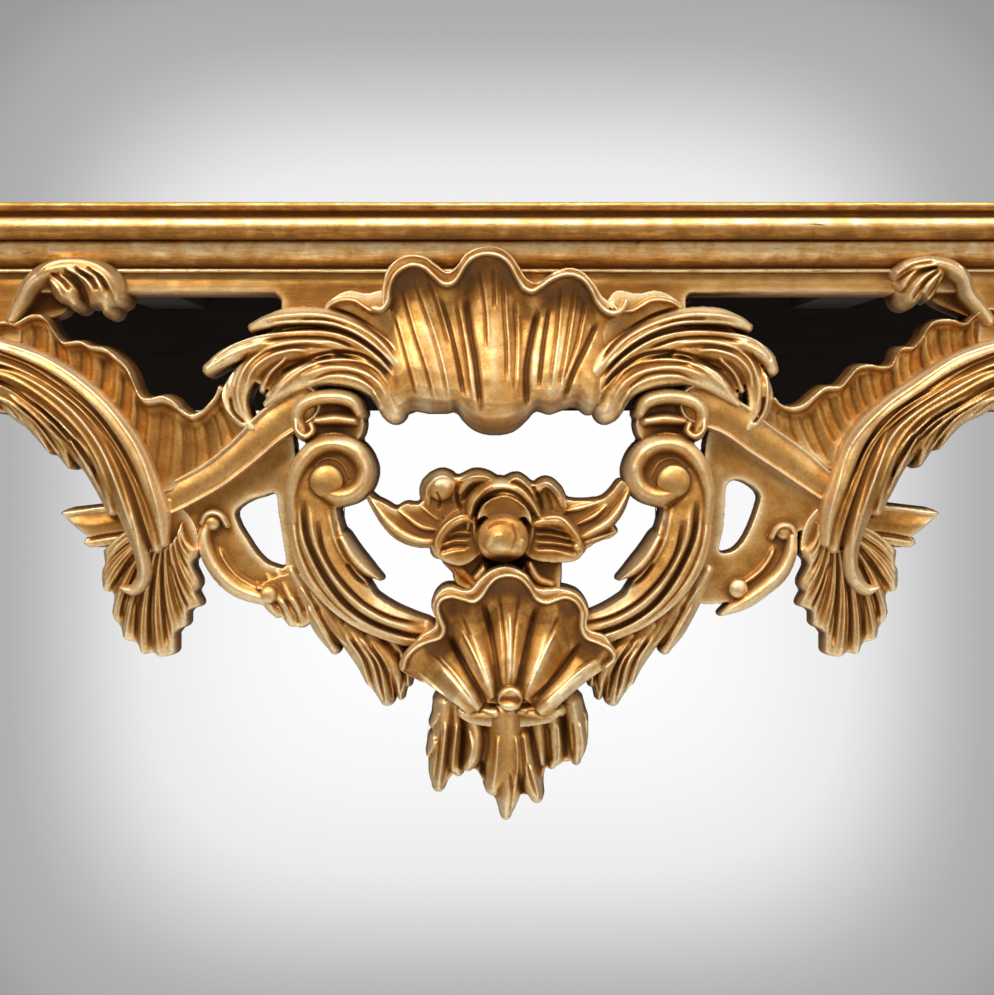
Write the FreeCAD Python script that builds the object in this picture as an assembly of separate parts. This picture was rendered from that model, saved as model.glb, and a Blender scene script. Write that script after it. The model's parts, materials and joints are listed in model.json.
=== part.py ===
# Carved and gilded wall console table. Lengths are in millimetres, +Z is up and the wall is at +Y.
# The origin is on the floor, under the middle of the table.
import FreeCAD
import Part
import collections
import itertools
import math
import os
from FreeCAD import Vector

# Driving sizes of the whole table
table_height = 880.0
top_width = 1000.0
top_depth = 420.0
top_thickness = 22.0
top_overhang = 24.0

# Scale of the photograph on the front of the apron. Names ending _PX hold pixel coordinates in it.
view_width = 596.4
PHOTO_WIDTH_PX = 994.0
PHOTO_CENTRE_PX = 500.0
PHOTO_TOP_PX = 204.0
mm_per_px = view_width / PHOTO_WIDTH_PX

# Frame under the top
post_side = 52.0
board_thickness = 30.0
back_rail_height = 100.0
back_rail_thickness = 24.0
tenon_thickness = 10.0
tenon_length = 22.0
tenon_shoulder = 6.0
opening_corner = 5.0
rail_cove_radius = 2.6
rail_cove_rise = 7.8
overrun = 4.0
behind = 1.0

# Edge moulding of the top, and the cornice below it
edge_width = 36.0
edge_bead_height = 5.4
edge_bead_setback = 4.0
edge_cove_height = 3.0
edge_neck_setback = 5.0
cornice_height = 19.2
cornice_reach = 15.0
cornice_waist = 2.5
fillet_height = 2.6
fillet_reach = 5.0

# Relief of the carving, measured forward from the back of the front board
carving_depth = 46.0
shell_depth = 51.0

# Fastenings
screw_head_radius = 4.0
screw_head_height = 2.4
screw_radius = 2.0
carving_screw_length = 25.0
carving_screw_recess = 12.0
top_screw_length = 30.0
peg_radius = 3.5
peg_length = 40.0
dowel_radius = 4.0
dowel_setback = 13.0
batten_width = 40.0
batten_thickness = 24.0
glue_block_length = 44.0
glue_block_side = 20.0

# Cabriole legs: heights of the sections, how far each stands out from the post, and its side
leg_heights = (0.0, 8.0, 30.0, 62.0, 110.0, 190.0, 330.0, 480.0, 600.0, 690.0, 748.0, 790.0)
leg_reaches = (4.0, 9.0, 12.0, 0.0, -17.0, -22.0, -15.0, -2.0, 10.0, 16.0, 8.0, 0.0)
leg_sides = (44.0, 50.0, 50.0, 34.0, 25.0, 25.0, 32.0, 42.0, 53.0, 62.0, 58.0, 52.0)
leg_corner_share = 0.24
leg_sections = 22
scroll_radius = 13.0
leaf_relief = 3.6
leaf_root = 6.0

# How many cross-sections the carved strips are lofted through
strip_stations = 8
knee_stations = 6
scroll_stations = 11
volute_stations = 14

frame_half_width = top_width / 2 - top_overhang
wall_y = top_depth / 2
frame_front_y = -top_depth / 2 + top_overhang
board_back_y = frame_front_y + board_thickness
frame_top_z = table_height - top_thickness
post_inner_x = frame_half_width - post_side
post_back_y = frame_front_y + post_side
side_middle_y = (post_back_y + wall_y - post_side) / 2

# Cross-sections of carved strips: place across the strip from -1 to 1, and share of the crest's height
CROWN_SHARES = ((-1, 0.6), (-0.6, 0.88), (0, 1.0), (0.6, 0.88), (1, 0.6))
CHANNEL_SHARES = ((-1, 0.8), (-0.82, 1.0), (-0.45, 0.72), (0, 0.64), (0.45, 0.72), (0.82, 1.0), (1, 0.8))
RIDGED_SHARES = (
    (-1, 0.66), (-0.8, 0.96), (-0.5, 0.74), (-0.2, 1.0), (0.1, 0.74), (0.45, 0.96), (0.75, 0.74), (1, 0.66)
)
LEAF_SHARES = ((-1, 0.6), (-0.5, 0.9), (-0.15, 0.82), (0, 1.0), (0.15, 0.82), (0.5, 0.9), (1, 0.6))
back_growth_share = 1.12

# Height along a fan's rib from its root to its lip, as shares of the rib's own height
SHELL_RISE_SHARES = (0.82, 0.8, 0.84, 0.96, 1.0)
LEAF_RISE_SHARES = (1.0, 0.95, 0.86, 0.7, 0.5)
BORDER_RISE_SHARES = (0.6, 0.62, 0.7, 0.84, 1.0)


def on_front(px, py, forward):
    """Point of the front carving seen at (px, py) in the photograph, forward of the front board's back."""
    x = (px - PHOTO_CENTRE_PX) * mm_per_px
    z = table_height - (py - PHOTO_TOP_PX) * mm_per_px
    return Vector(x, board_back_y - forward, z)


def on_side(px, py, forward):
    """The same for the left side: px runs from the middle of the side towards the wall."""
    z = table_height - (py - PHOTO_TOP_PX) * mm_per_px
    return Vector(-frame_half_width + board_thickness - forward, side_middle_y + px * mm_per_px, z)


def chord_shares(points):
    """Distance along a row of points, from 0 at the first to 1 at the last."""
    steps = [0.0]
    for (ax, ay), (bx, by) in zip(points, points[1:]):
        steps.append(steps[-1] + math.hypot(bx - ax, by - ay))
    return [step / steps[-1] for step in steps]


def along(values, marks, share):
    """Value at a share of the way along a strip, straight between the values at the marks."""
    for low, high, a, b in zip(marks, marks[1:], values, values[1:]):
        if share <= high:
            return a + (b - a) * (share - low) / (high - low)
    return values[-1]


def even_curve(points):
    """Curve through points with evenly spaced parameters, so that lofts through such curves stay light."""
    curve = Part.BSplineCurve()
    curve.interpolate(Points=points, Parameters=[k / (len(points) - 1) for k in range(len(points))])
    return curve


def section(front, back_end, back_start):
    """Closed section with a straight-sided root. Its front is a curve, or ridges where it has more points."""
    if len(front) > len(CROWN_SHARES):
        return Part.makePolygon([*front, back_end, back_start, front[0]])
    return Part.Wire([
        even_curve(front).toShape(),
        Part.LineSegment(front[-1], back_end).toShape(),
        Part.LineSegment(back_end, back_start).toShape(),
        Part.LineSegment(back_start, front[0]).toShape(),
    ])


# The roots of carved strips end at different depths, so that no two of them share a plane before they are cut
root_depths = itertools.cycle([behind * step for step in (1.0, 1.35, 1.7, 2.05, 2.4)])


def strip(path_px, depth, profile=CROWN_SHARES, place=on_front, root=0, stations=strip_stations):
    """Carved strip: rows of (px, py, half width in px, crest share), lofted through cross-sections."""
    root += next(root_depths)
    points = [(px, py) for px, py, half, crest in path_px]
    marks = chord_shares(points)
    spine = Part.BSplineCurve()
    spine.interpolate(Points=[Vector(px, py, 0) for px, py in points], Parameters=marks)
    wires = []
    for station in range(stations):
        share = station / (stations - 1)
        centre = spine.value(share)
        tangent = spine.tangent(share)[0]
        half = along([row[2] for row in path_px], marks, share)
        crest = along([row[3] for row in path_px], marks, share) * depth

        def at(across, forward):
            return place(centre.x - tangent.y * half * across, centre.y + tangent.x * half * across, forward)

        front = [at(across, crest * height) for across, height in profile]
        grown = back_growth_share
        wires.append(section(front, at(profile[-1][0] * grown, -root), at(profile[0][0] * grown, -root)))
    return Part.makeLoft(wires, True, True)


def fan(ribs_px, depth, rise, place=on_front):
    """Ribbed sheet: rows of (root px, root py, lip px, lip py, crest share), lofted from rib to rib."""
    root = next(root_depths)
    wires = []
    for x0, y0, x1, y1, crest in ribs_px:

        def at(share, forward):
            return place(x0 + (x1 - x0) * share, y0 + (y1 - y0) * share, forward)

        front = [at(k / (len(rise) - 1), depth * crest * height) for k, height in enumerate(rise)]
        wires.append(section(front, at(1, -root), at(0, -root)))
    return Part.makeLoft(wires, True, True)


def button(px, py, radius_px, top, place=on_front):
    """Round button that stands on the back plane, with a domed front that reaches the height top."""
    radius = radius_px * mm_per_px
    start = place(px, py, -next(root_depths))
    centre = place(px, py, top - radius)
    stem = Part.makeCylinder(radius, (centre - start).Length, start, centre - start)
    return stem.fuse(Part.makeSphere(radius, centre))


def disc(px, py, radius_px, top, place=on_front):
    """Round block with a flat front at the height top."""
    return rod(place(px, py, -next(root_depths)), place(px, py, top), radius_px * mm_per_px)


def slab(points_px, top, place=on_front):
    """Block with a smooth closed outline, from behind the back plane to the height top."""
    curve = Part.BSplineCurve()
    root = next(root_depths)
    curve.interpolate(Points=[place(px, py, -root) for px, py in points_px], PeriodicFlag=True)
    start = place(0, 0, -root)
    return Part.Face(Part.Wire(curve.toShape())).extrude(place(0, 0, top) - start)


def box_between(low, high):
    """Box from its lowest to its highest corner."""
    return Part.makeBox(high[0] - low[0], high[1] - low[1], high[2] - low[2], Vector(*low))


def rod(start, end, radius):
    """Round rod between two points."""
    return Part.makeCylinder(radius, (end - start).Length, start, end - start)


def together(shapes):
    """One solid out of carved parts that run into each other."""
    whole = shapes[0]
    for shape in shapes[1:]:
        whole = whole.fuse(shape)
    return whole


def mirrored(shape):
    """The same piece on the other side of the table's middle."""
    return shape.mirror(Vector(0, 0, 0), Vector(1, 0, 0))


BEHIND_FRONT = box_between(
    (-top_width, board_back_y, 0), (top_width, board_back_y + top_depth, table_height + overrun)
)
INSIDE_LEFT = box_between(
    (-frame_half_width + board_thickness, -top_depth, 0), (0, top_depth, table_height + overrun)
)
sliver_share = 0.03


def seated(shape, *others):
    """A carved piece cut to seat on the pieces it meets, without slivers."""
    solids = shape.cut(list(others)).Solids
    limit = max(solid.Volume for solid in solids) * sliver_share
    kept = [solid for solid in solids if solid.Volume > limit]
    return kept[0] if len(kept) == 1 else Part.makeCompound(kept)


def edge_profile(place):
    """Moulded edge of the top: bead, small cove and a large torus. place(out, height) gives a point."""
    bead_reach = top_overhang - edge_bead_setback
    neck_reach = top_overhang - edge_neck_setback
    cove_low = -edge_bead_height - edge_cove_height
    torus_middle = (cove_low - top_thickness) / 2
    inner = top_overhang - edge_width
    return Part.Face(Part.Wire([
        Part.LineSegment(place(inner, -top_thickness), place(inner, 0)).toShape(),
        Part.LineSegment(place(inner, 0), place(bead_reach, 0)).toShape(),
        Part.Arc(
            place(bead_reach, 0),
            place(bead_reach + edge_bead_height / 2, -edge_bead_height / 2),
            place(bead_reach, -edge_bead_height),
        ).toShape(),
        Part.Arc(
            place(bead_reach, -edge_bead_height),
            place(bead_reach - edge_cove_height / 2, (cove_low - edge_bead_height) / 2),
            place(neck_reach, cove_low),
        ).toShape(),
        Part.Arc(
            place(neck_reach, cove_low),
            place(top_overhang, torus_middle),
            place(neck_reach, -top_thickness),
        ).toShape(),
        Part.LineSegment(place(neck_reach, -top_thickness), place(inner, -top_thickness)).toShape(),
    ]))


def cornice_profile(place):
    """Cornice on the rail: a swelling that turns under, above a fillet."""
    swell_low = fillet_height - cornice_height
    belly_share = 0.92
    return Part.Face(Part.Wire([
        Part.LineSegment(place(0, -cornice_height), place(0, 0)).toShape(),
        Part.LineSegment(place(0, 0), place(cornice_reach, 0)).toShape(),
        Part.Arc(
            place(cornice_reach, 0), place(cornice_reach * belly_share, swell_low / 2),
            place(cornice_waist, swell_low),
        ).toShape(),
        Part.LineSegment(place(cornice_waist, swell_low), place(fillet_reach, swell_low)).toShape(),
        Part.LineSegment(place(fillet_reach, swell_low), place(fillet_reach, -cornice_height)).toShape(),
        Part.LineSegment(place(fillet_reach, -cornice_height), place(0, -cornice_height)).toShape(),
    ]))


def moulding_front(profile, z_top):
    """Moulding along the front, mitred at both ends."""
    half = top_width / 2 + overrun
    face = profile(lambda out, height: Vector(-half, frame_front_y - out, z_top + height))
    reach = frame_half_width
    mitres = Part.makePolygon([
        Vector(-reach - top_depth, frame_front_y - top_depth, 0),
        Vector(reach + top_depth, frame_front_y - top_depth, 0),
        Vector(reach - top_depth, frame_front_y + top_depth, 0),
        Vector(top_depth - reach, frame_front_y + top_depth, 0),
        Vector(-reach - top_depth, frame_front_y - top_depth, 0),
    ])
    return face.extrude(Vector(2 * half, 0, 0)).common(Part.Face(mitres).extrude(Vector(0, 0, top_width)))


def moulding_left(profile, z_top):
    """Moulding along the left end, mitred at the front and square at the wall."""
    start = -top_depth / 2 - overrun
    face = profile(lambda out, height: Vector(-frame_half_width - out, start, z_top + height))
    mitre = Part.makePolygon([
        Vector(-frame_half_width - top_depth, frame_front_y - top_depth, 0),
        Vector(-frame_half_width + top_depth, frame_front_y + top_depth, 0),
        Vector(-frame_half_width - top_depth, frame_front_y + top_depth, 0),
        Vector(-frame_half_width - top_depth, frame_front_y - top_depth, 0),
    ])
    bar = face.extrude(Vector(0, wall_y - start, 0))
    return bar.common(Part.Face(mitre).extrude(Vector(0, 0, top_width)))


def make_top(pieces):
    """Plain board, its mitred gilt edge, and the cornice under it."""
    half = top_width / 2 - edge_width
    front = edge_width - top_depth / 2
    pieces["top_panel"] = box_between((-half, front, frame_top_z), (half, wall_y, table_height))
    mouldings = (("top_edge", edge_profile, table_height), ("cornice", cornice_profile, frame_top_z))
    for name, profile, z_top in mouldings:
        pieces[name + "_front"] = moulding_front(profile, z_top)
        pieces[name + "_left"] = moulding_left(profile, z_top)
        pieces[name + "_right"] = mirrored(pieces[name + "_left"])


OPENINGS_PX = ((22.0, 278.0), (688.0, 978.0))
OPENING_TOP_PX = 293.0
SPANDREL_LOW_PX = 345.0
TONGUE_LOW_PX = 352.0
SHOULDER_OVERLAP_PX = 6.0


def end_tenons(y_middle, z_low):
    """Tenons on both ends of a rail that runs between the legs in X."""
    length = tenon_length
    tenons = []
    for start in (-post_inner_x - length, post_inner_x):
        tenons.append(box_between(
            (start, y_middle - tenon_thickness / 2, z_low + tenon_shoulder),
            (start + length, y_middle + tenon_thickness / 2, frame_top_z - tenon_shoulder),
        ))
    return tenons


def front_board():
    """Front board: narrow over the two openings, deeper behind the shell and beside the legs."""
    low_z = on_front(0, SPANDREL_LOW_PX, 0).z
    tongue_z = on_front(0, TONGUE_LOW_PX, 0).z
    opening_z = on_front(0, OPENING_TOP_PX, 0).z
    board = box_between((-post_inner_x, frame_front_y, tongue_z), (post_inner_x, board_back_y, frame_top_z))
    shoulder = box_between(
        (-post_inner_x - overrun, frame_front_y - overrun, tongue_z - overrun),
        (on_front(OPENINGS_PX[0][0] + SHOULDER_OVERLAP_PX, 0, 0).x, board_back_y + overrun, low_z),
    )
    removed = [shoulder, mirrored(shoulder)]
    for left_px, right_px in OPENINGS_PX:
        left_x = on_front(left_px, 0, 0).x
        right_x = on_front(right_px, 0, 0).x
        hole = box_between(
            (left_x, frame_front_y - overrun, tongue_z - overrun),
            (right_x, board_back_y + overrun, opening_z),
        )
        top_corners = [
            edge for edge in hole.Edges
            if abs(edge.tangentAt(0).y) > math.cos(math.pi / 6) and edge.Vertexes[0].Z > tongue_z
        ]
        cove_z = opening_z + rail_cove_rise
        cove = rod(
            Vector(left_x, frame_front_y, cove_z), Vector(right_x, frame_front_y, cove_z), rail_cove_radius
        )
        removed += [hole.makeFillet(opening_corner, top_corners), cove]
    board = board.cut(removed)
    return together([board, *end_tenons((frame_front_y + board_back_y) / 2, low_z)])


def make_frame(pieces):
    """Front board, side rails and back rail, tenoned into the legs."""
    pieces["front_board"] = front_board()
    low_z = frame_top_z - back_rail_height
    back = box_between(
        (-post_inner_x, wall_y - back_rail_thickness, low_z), (post_inner_x, wall_y, frame_top_z)
    )
    pieces["back_rail"] = together([back, *end_tenons(wall_y - back_rail_thickness / 2, low_z)])
    side_low_z = on_front(0, SPANDREL_LOW_PX, 0).z
    outer = -frame_half_width
    start, end = post_back_y, wall_y - post_side
    middle = outer + board_thickness / 2
    rail = box_between((outer, start, side_low_z), (outer + board_thickness, end, frame_top_z))
    spine = box_between(
        (middle - tenon_thickness / 2, start - tenon_length, side_low_z + tenon_shoulder),
        (middle + tenon_thickness / 2, end + tenon_length, frame_top_z - tenon_shoulder),
    )
    pieces["side_rail_left"] = rail.fuse(spine)


def rounded_square(x_low, y_low, side, z):
    """Square outline with rounded corners at a height."""
    r = side * leg_corner_share
    bend = r * (1 - math.sqrt(2) / 2)
    x_high, y_high = x_low + side, y_low + side
    corners = (
        ((x_low, y_high), ((0, -r), (bend, -bend), (r, 0))),
        ((x_high, y_high), ((-r, 0), (-bend, -bend), (0, -r))),
        ((x_high, y_low), ((0, r), (-bend, bend), (-r, 0))),
        ((x_low, y_low), ((r, 0), (bend, bend), (0, r))),
    )
    arcs = [[Vector(cx + dx, cy + dy, z) for dx, dy in arc] for (cx, cy), arc in corners]
    edges = []
    for arc, following in zip(arcs, arcs[1:] + arcs[:1]):
        edges.append(Part.Arc(*arc).toShape())
        edges.append(Part.LineSegment(arc[-1], following[0]).toShape())
    return Part.Wire(edges)


def leg_face(z, values):
    """A leg's size at a height, smooth between its sections."""
    curve = Part.BSplineCurve()
    span = leg_heights[-1]
    curve.interpolate(
        Points=[Vector(height, value, 0) for height, value in zip(leg_heights, values)],
        Parameters=[height / span for height in leg_heights],
    )
    return curve.value(min(z, span) / span).y


def on_leg_front(px, py, forward):
    """Point seen at (px, py) on the front face of a front leg, forward of that face."""
    point = on_front(px, py, 0)
    return Vector(point.x, frame_front_y - leg_face(point.z, leg_reaches) - forward, point.z)


def on_leg_side(px, py, forward):
    """Point on the outer face of the left front leg. px runs from the front corner towards the wall."""
    z = on_front(px, py, 0).z
    return Vector(-frame_half_width - leg_face(z, leg_reaches) - forward, frame_front_y + px * mm_per_px, z)


# Knee leaves: rows of px, py, half width and share of the relief
KNEE_FRONT_PX = (
    ((-255, 330, 10, 0.8), (-262, 390, 17, 1.0), (-262, 470, 15, 1.0), (-254, 560, 9, 0.9),
     (-246, 640, 2, 0.5)),
    ((-228, 380, 5, 0.6), (-222, 430, 10, 0.9), (-226, 490, 7, 0.8), (-236, 540, 2, 0.5)),
)
KNEE_SIDE_PX = (
    ((34, 330, 10, 0.8), (20, 390, 17, 1.0), (16, 470, 15, 1.0), (26, 560, 9, 0.9), (40, 640, 2, 0.5)),
    ((62, 380, 5, 0.6), (66, 430, 10, 0.9), (60, 490, 7, 0.8), (52, 540, 2, 0.5)),
)


def cabriole(y_of_section):
    """Left leg: a square post above, then a loft through rounded squares down to the foot."""
    wires = []
    for step in range(leg_sections):
        height = leg_heights[-1] * step / (leg_sections - 1)
        reach, side = leg_face(height, leg_reaches), leg_face(height, leg_sides)
        wires.append(rounded_square(-frame_half_width - reach, y_of_section(reach, side), side, height))
    shaft = Part.makeLoft(wires, True, True)
    start = y_of_section(0, post_side)
    post = box_between(
        (-frame_half_width, start, leg_heights[-1] - overrun),
        (-post_inner_x, start + post_side, frame_top_z)
    )
    return shaft, post


def make_legs(pieces, holes):
    """Four cabriole legs with leaf-carved knees and scrolled feet."""
    shaft, post = cabriole(lambda reach, side: frame_front_y - reach)
    leaves = []
    for place, table in ((on_leg_front, KNEE_FRONT_PX), (on_leg_side, KNEE_SIDE_PX)):
        leaves += [strip(row, leaf_relief, LEAF_SHARES, place, leaf_root, knee_stations) for row in table]
    toe_x = -frame_half_width - leg_reaches[2] + scroll_radius
    toe_y = frame_front_y - leg_reaches[2] + scroll_radius
    reach = Vector(scroll_radius, -scroll_radius, 0)
    toe = Vector(toe_x, toe_y, leg_heights[2])
    scroll = rod(toe - reach, toe + reach, scroll_radius)
    front = together([shaft, post, scroll, *leaves])
    joints = [pieces["front_board"], pieces["side_rail_left"], *holes["leg_front_left"]]
    pieces["leg_front_left"] = seated(front, *joints)
    shaft, post = cabriole(lambda reach, side: wall_y - side)
    joints = [pieces["back_rail"], pieces["side_rail_left"], *holes["leg_back_left"]]
    pieces["leg_back_left"] = seated(shaft.fuse(post), *joints)


# Upper shell: ribs from its lower edge to its scalloped lip
UPPER_SHELL_PX = (
    (384, 415, 388, 290, 0.86), (396, 419, 398, 270, 1.0), (408, 410, 413, 266, 0.84),
    (425, 411, 430, 272, 0.95), (440, 412, 448, 284, 1.0), (452, 410, 458, 278, 0.84),
    (463, 420, 467, 266, 1.0), (476, 430, 478, 258, 0.84), (488, 433, 488, 256, 0.95),
    (502, 434, 501, 258, 0.84), (514, 431, 514, 270, 1.0), (522, 425, 526, 290, 0.84),
    (532, 409, 537, 291, 1.0), (545, 413, 552, 283, 0.86), (557, 411, 566, 277, 0.97),
    (568, 405, 580, 277, 0.84), (582, 409, 592, 290, 1.0), (595, 416, 600, 309, 0.84),
    (605, 409, 610, 315, 0.98), (618, 403, 628, 309, 0.84),
)

# Crest leaf on the left of the shell: strips from the shell outwards
CREST_LEAF_PX = (
    ((404, 362, 13, 0.94), (370, 340, 13, 0.94), (330, 318, 10, 0.9), (290, 314, 8, 0.86),
     (244, 327, 2, 0.76)),
    ((400, 388, 15, 0.9), (368, 366, 14, 0.94), (328, 343, 11, 0.92), (280, 336, 10, 0.86),
     (236, 348, 9, 0.82), (200, 369, 2, 0.74)),
    ((345, 357, 9, 0.9), (292, 351, 10, 0.9), (256, 364, 11, 0.86), (234, 386, 11, 0.8),
     (232, 404, 10, 0.74),
     (248, 424, 5, 0.7)),
    ((404, 408, 15, 0.86), (370, 380, 15, 0.94), (338, 366, 12, 0.94), (298, 380, 11, 0.86),
     (270, 402, 5, 0.76)),
)
CREST_FILL_PX = (
    (300, 318), (350, 318), (402, 356), (404, 414), (378, 404), (352, 386), (318, 384), (296, 402),
    (262, 416),
    (236, 410), (228, 382), (250, 345),
)
CREST_RIBBON_PX = ((326, 305, 6, 0.84), (345, 297, 8, 0.9), (366, 302, 7, 0.86), (388, 298, 6, 0.8))

# Inner scroll on the left: the C band, its volute with a curling ring, and the hook above it
INNER_BAND_PX = (
    (306, 470, 26, 0.8), (310, 500, 28, 0.86), (314, 533, 29, 0.88), (321, 556, 29, 0.88),
    (332, 576, 28, 0.88),
    (346, 594, 25, 0.86), (362, 611, 22, 0.84), (384, 624, 20, 0.8), (408, 634, 20, 0.76),
    (434, 640, 20, 0.7),
)
INNER_TIP_PX = ((352, 556, 10, 0.8), (366, 570, 9, 0.8), (380, 580, 2, 0.72))
VOLUTE_PX = (
    (300, 508, 10, 0.9), (306, 470, 8, 0.94), (320, 449, 7, 0.98), (342, 443, 7, 1.0), (362, 454, 7, 1.0),
    (369, 474, 7, 1.0), (360, 492, 7, 0.98), (342, 499, 7, 0.96), (322, 496, 6, 0.94),
)
VOLUTE_EYE_PX = (327, 479, 14)
VOLUTE_BED_PX = (338, 472, 31)
HOOK_PX = (
    (296, 432, 9, 0.8), (293, 412, 8, 0.84), (304, 398, 9, 0.88), (330, 392, 9, 0.9), (352, 400, 8, 0.88),
    (360, 416, 5, 0.8),
)
HOOK_BED_PX = ((298, 400), (330, 394), (358, 404), (364, 430), (352, 444), (310, 446), (296, 430))
HOOK_KNOB_PX = (304, 428, 11)

# Strut from the crest down to the outer leaf, and the two stub ends beyond it
STRUT_PX = (
    (298, 412, 24, 0.74), (268, 432, 20, 0.74), (242, 456, 18, 0.7), (214, 478, 17, 0.64),
    (186, 494, 16, 0.56),
    (150, 508, 14, 0.5),
)
STUB_PX = ((162, 508, 14, 0.5), (112, 516, 11, 0.52), (80, 519, 8, 0.5), (57, 517, 3, 0.44))
LOWER_STUB_PX = ((166, 534, 12, 0.42), (124, 540, 8, 0.44), (80, 544, 3, 0.38))

# Bracket scroll under the strut, its web and its small leaves
BRACKET_PX = (
    (214, 520, 12, 0.56), (212, 536, 15, 0.56), (217, 553, 17, 0.54), (229, 570, 17, 0.52),
    (246, 583, 17, 0.52),
    (266, 590, 17, 0.52), (290, 592, 20, 0.54),
)
BRACKET_EYE_PX = (211, 523, 10)
BRACKET_FOOT_PX = (266, 600, 9)
BRACKET_WEB_PX = (
    (168, 514), (200, 498), (245, 470), (288, 446), (292, 490), (273, 495), (250, 501), (233, 514),
    (212, 524),
    (196, 532), (178, 540),
)
BRACKET_LEAVES_PX = (
    (268, 596, 262, 607, 0.5), (274, 600, 270, 618, 0.52), (281, 602, 278, 624, 0.44),
    (287, 604, 284, 620, 0.5),
    (294, 606, 290, 627, 0.54), (301, 607, 297, 632, 0.46), (308, 607, 304, 629, 0.5),
    (315, 606, 310, 622, 0.46),
    (323, 606, 317, 620, 0.5),
)

# Leaf fringe along the outside of the inner scroll
SCROLL_LEAF_PX = (
    (322, 600, 317, 620, 0.5), (330, 608, 322, 632, 0.44), (338, 616, 330, 655, 0.54),
    (346, 622, 338, 660, 0.46),
    (354, 627, 345, 651, 0.54), (362, 631, 352, 650, 0.44), (370, 635, 362, 666, 0.54),
    (378, 637, 369, 696, 0.46),
    (386, 639, 377, 698, 0.55), (394, 641, 386, 712, 0.46), (402, 643, 398, 706, 0.54),
    (410, 644, 404, 693, 0.44),
    (418, 646, 412, 688, 0.52), (428, 650, 421, 700, 0.46),
)

# Outer leaf: arched ridge, hooked inner band and serrated lower edge
OUTER_RIDGE_PX = (
    (-70, 352, 15, 0.86), (-30, 349, 17, 0.9), (15, 362, 20, 0.94), (56, 384, 22, 0.96),
    (92, 412, 23, 0.97),
    (118, 446, 21, 0.97), (137, 482, 18, 0.94), (150, 515, 13, 0.86), (158, 546, 5, 0.72),
)
OUTER_HOOK_PX = (
    (122, 496, 10, 0.88), (129, 520, 11, 0.9), (136, 546, 11, 0.84), (137, 570, 10, 0.78),
    (125, 590, 7, 0.7),
)
OUTER_EDGE_PX = (
    (-70, 358, -70, 392, 0.7), (-40, 356, -38, 402, 0.82), (-10, 366, -8, 402, 0.7), (6, 372, 4, 410, 0.82),
    (20, 380, 22, 428, 0.72), (34, 388, 40, 440, 0.84), (46, 398, 54, 459, 0.74), (56, 408, 66, 470, 0.86),
    (68, 420, 80, 460, 0.74), (76, 430, 90, 481, 0.86), (84, 442, 100, 485, 0.76),
    (92, 454, 107, 480, 0.84),
    (100, 468, 112, 503, 0.74),
)

# Leaf drop below the outer leaf
LEAF_DROP_PX = (
    (146, 536, 100, 552, 0.5), (145, 544, 101, 570, 0.62), (145, 550, 100, 588, 0.52),
    (146, 554, 110, 598, 0.64),
    (148, 556, 114, 613, 0.54), (150, 558, 119, 630, 0.66), (152, 559, 128, 641, 0.56),
    (155, 560, 142, 651, 0.68),
    (158, 560, 157, 656, 0.58), (161, 560, 171, 652, 0.68), (164, 559, 176, 634, 0.56),
    (167, 557, 187, 616, 0.66),
    (170, 554, 198, 606, 0.54), (173, 550, 194, 589, 0.64), (176, 545, 191, 566, 0.52),
    (180, 536, 195, 553, 0.6),
)

# Ruffled rocaille border between the opening and the outer leaf and strut
BORDER_PX = (
    (-44, 352, -44, 326, 0.76), (-12, 354, -12, 324, 0.86), (6, 358, 4, 322, 0.76),
    (18, 362, 18, 323, 0.88),
    (32, 368, 30, 314, 0.78), (44, 374, 44, 317, 0.9), (54, 380, 53, 330, 0.78), (64, 386, 64, 342, 0.9),
    (76, 392, 78, 343, 0.78), (86, 400, 90, 343, 0.9), (96, 410, 102, 349, 0.78), (106, 422, 113, 353, 0.9),
    (114, 434, 123, 364, 0.78), (122, 446, 131, 376, 0.9), (130, 460, 139, 392, 0.78),
    (138, 474, 150, 399, 0.9),
    (152, 492, 162, 398, 0.78), (172, 490, 173, 403, 0.9), (192, 480, 184, 409, 0.78),
    (208, 470, 194, 414, 0.9),
    (224, 458, 207, 408, 0.78), (238, 446, 216, 396, 0.88), (254, 434, 220, 384, 0.76),
)

# Small curl that hangs from the cornice at the outer end of the opening
CURL_PX = (
    (10, 320, 9, 0.8), (22, 298, 9, 0.86), (36, 278, 11, 0.92), (58, 268, 14, 0.98), (84, 274, 18, 1.0),
    (106, 288, 16, 0.94), (112, 306, 8, 0.84),
)
CURL_LOBE_PX = (78, 298, 11)

# Scrolled ear between the outer leaf and the leg
EAR_PX = (
    (-212, 470, 8, 0.7), (-200, 430, 14, 0.84), (-176, 390, 18, 0.9), (-140, 364, 19, 0.92),
    (-100, 352, 18, 0.9),
    (-66, 352, 15, 0.86),
)
EAR_LEAF_PX = (
    (-200, 380, -212, 352, 0.72), (-176, 366, -188, 336, 0.84), (-150, 356, -160, 328, 0.72),
    (-124, 350, -130, 324, 0.84), (-98, 350, -102, 322, 0.72), (-70, 350, -72, 324, 0.82),
    (-40, 352, -44, 326, 0.76),
)

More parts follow.
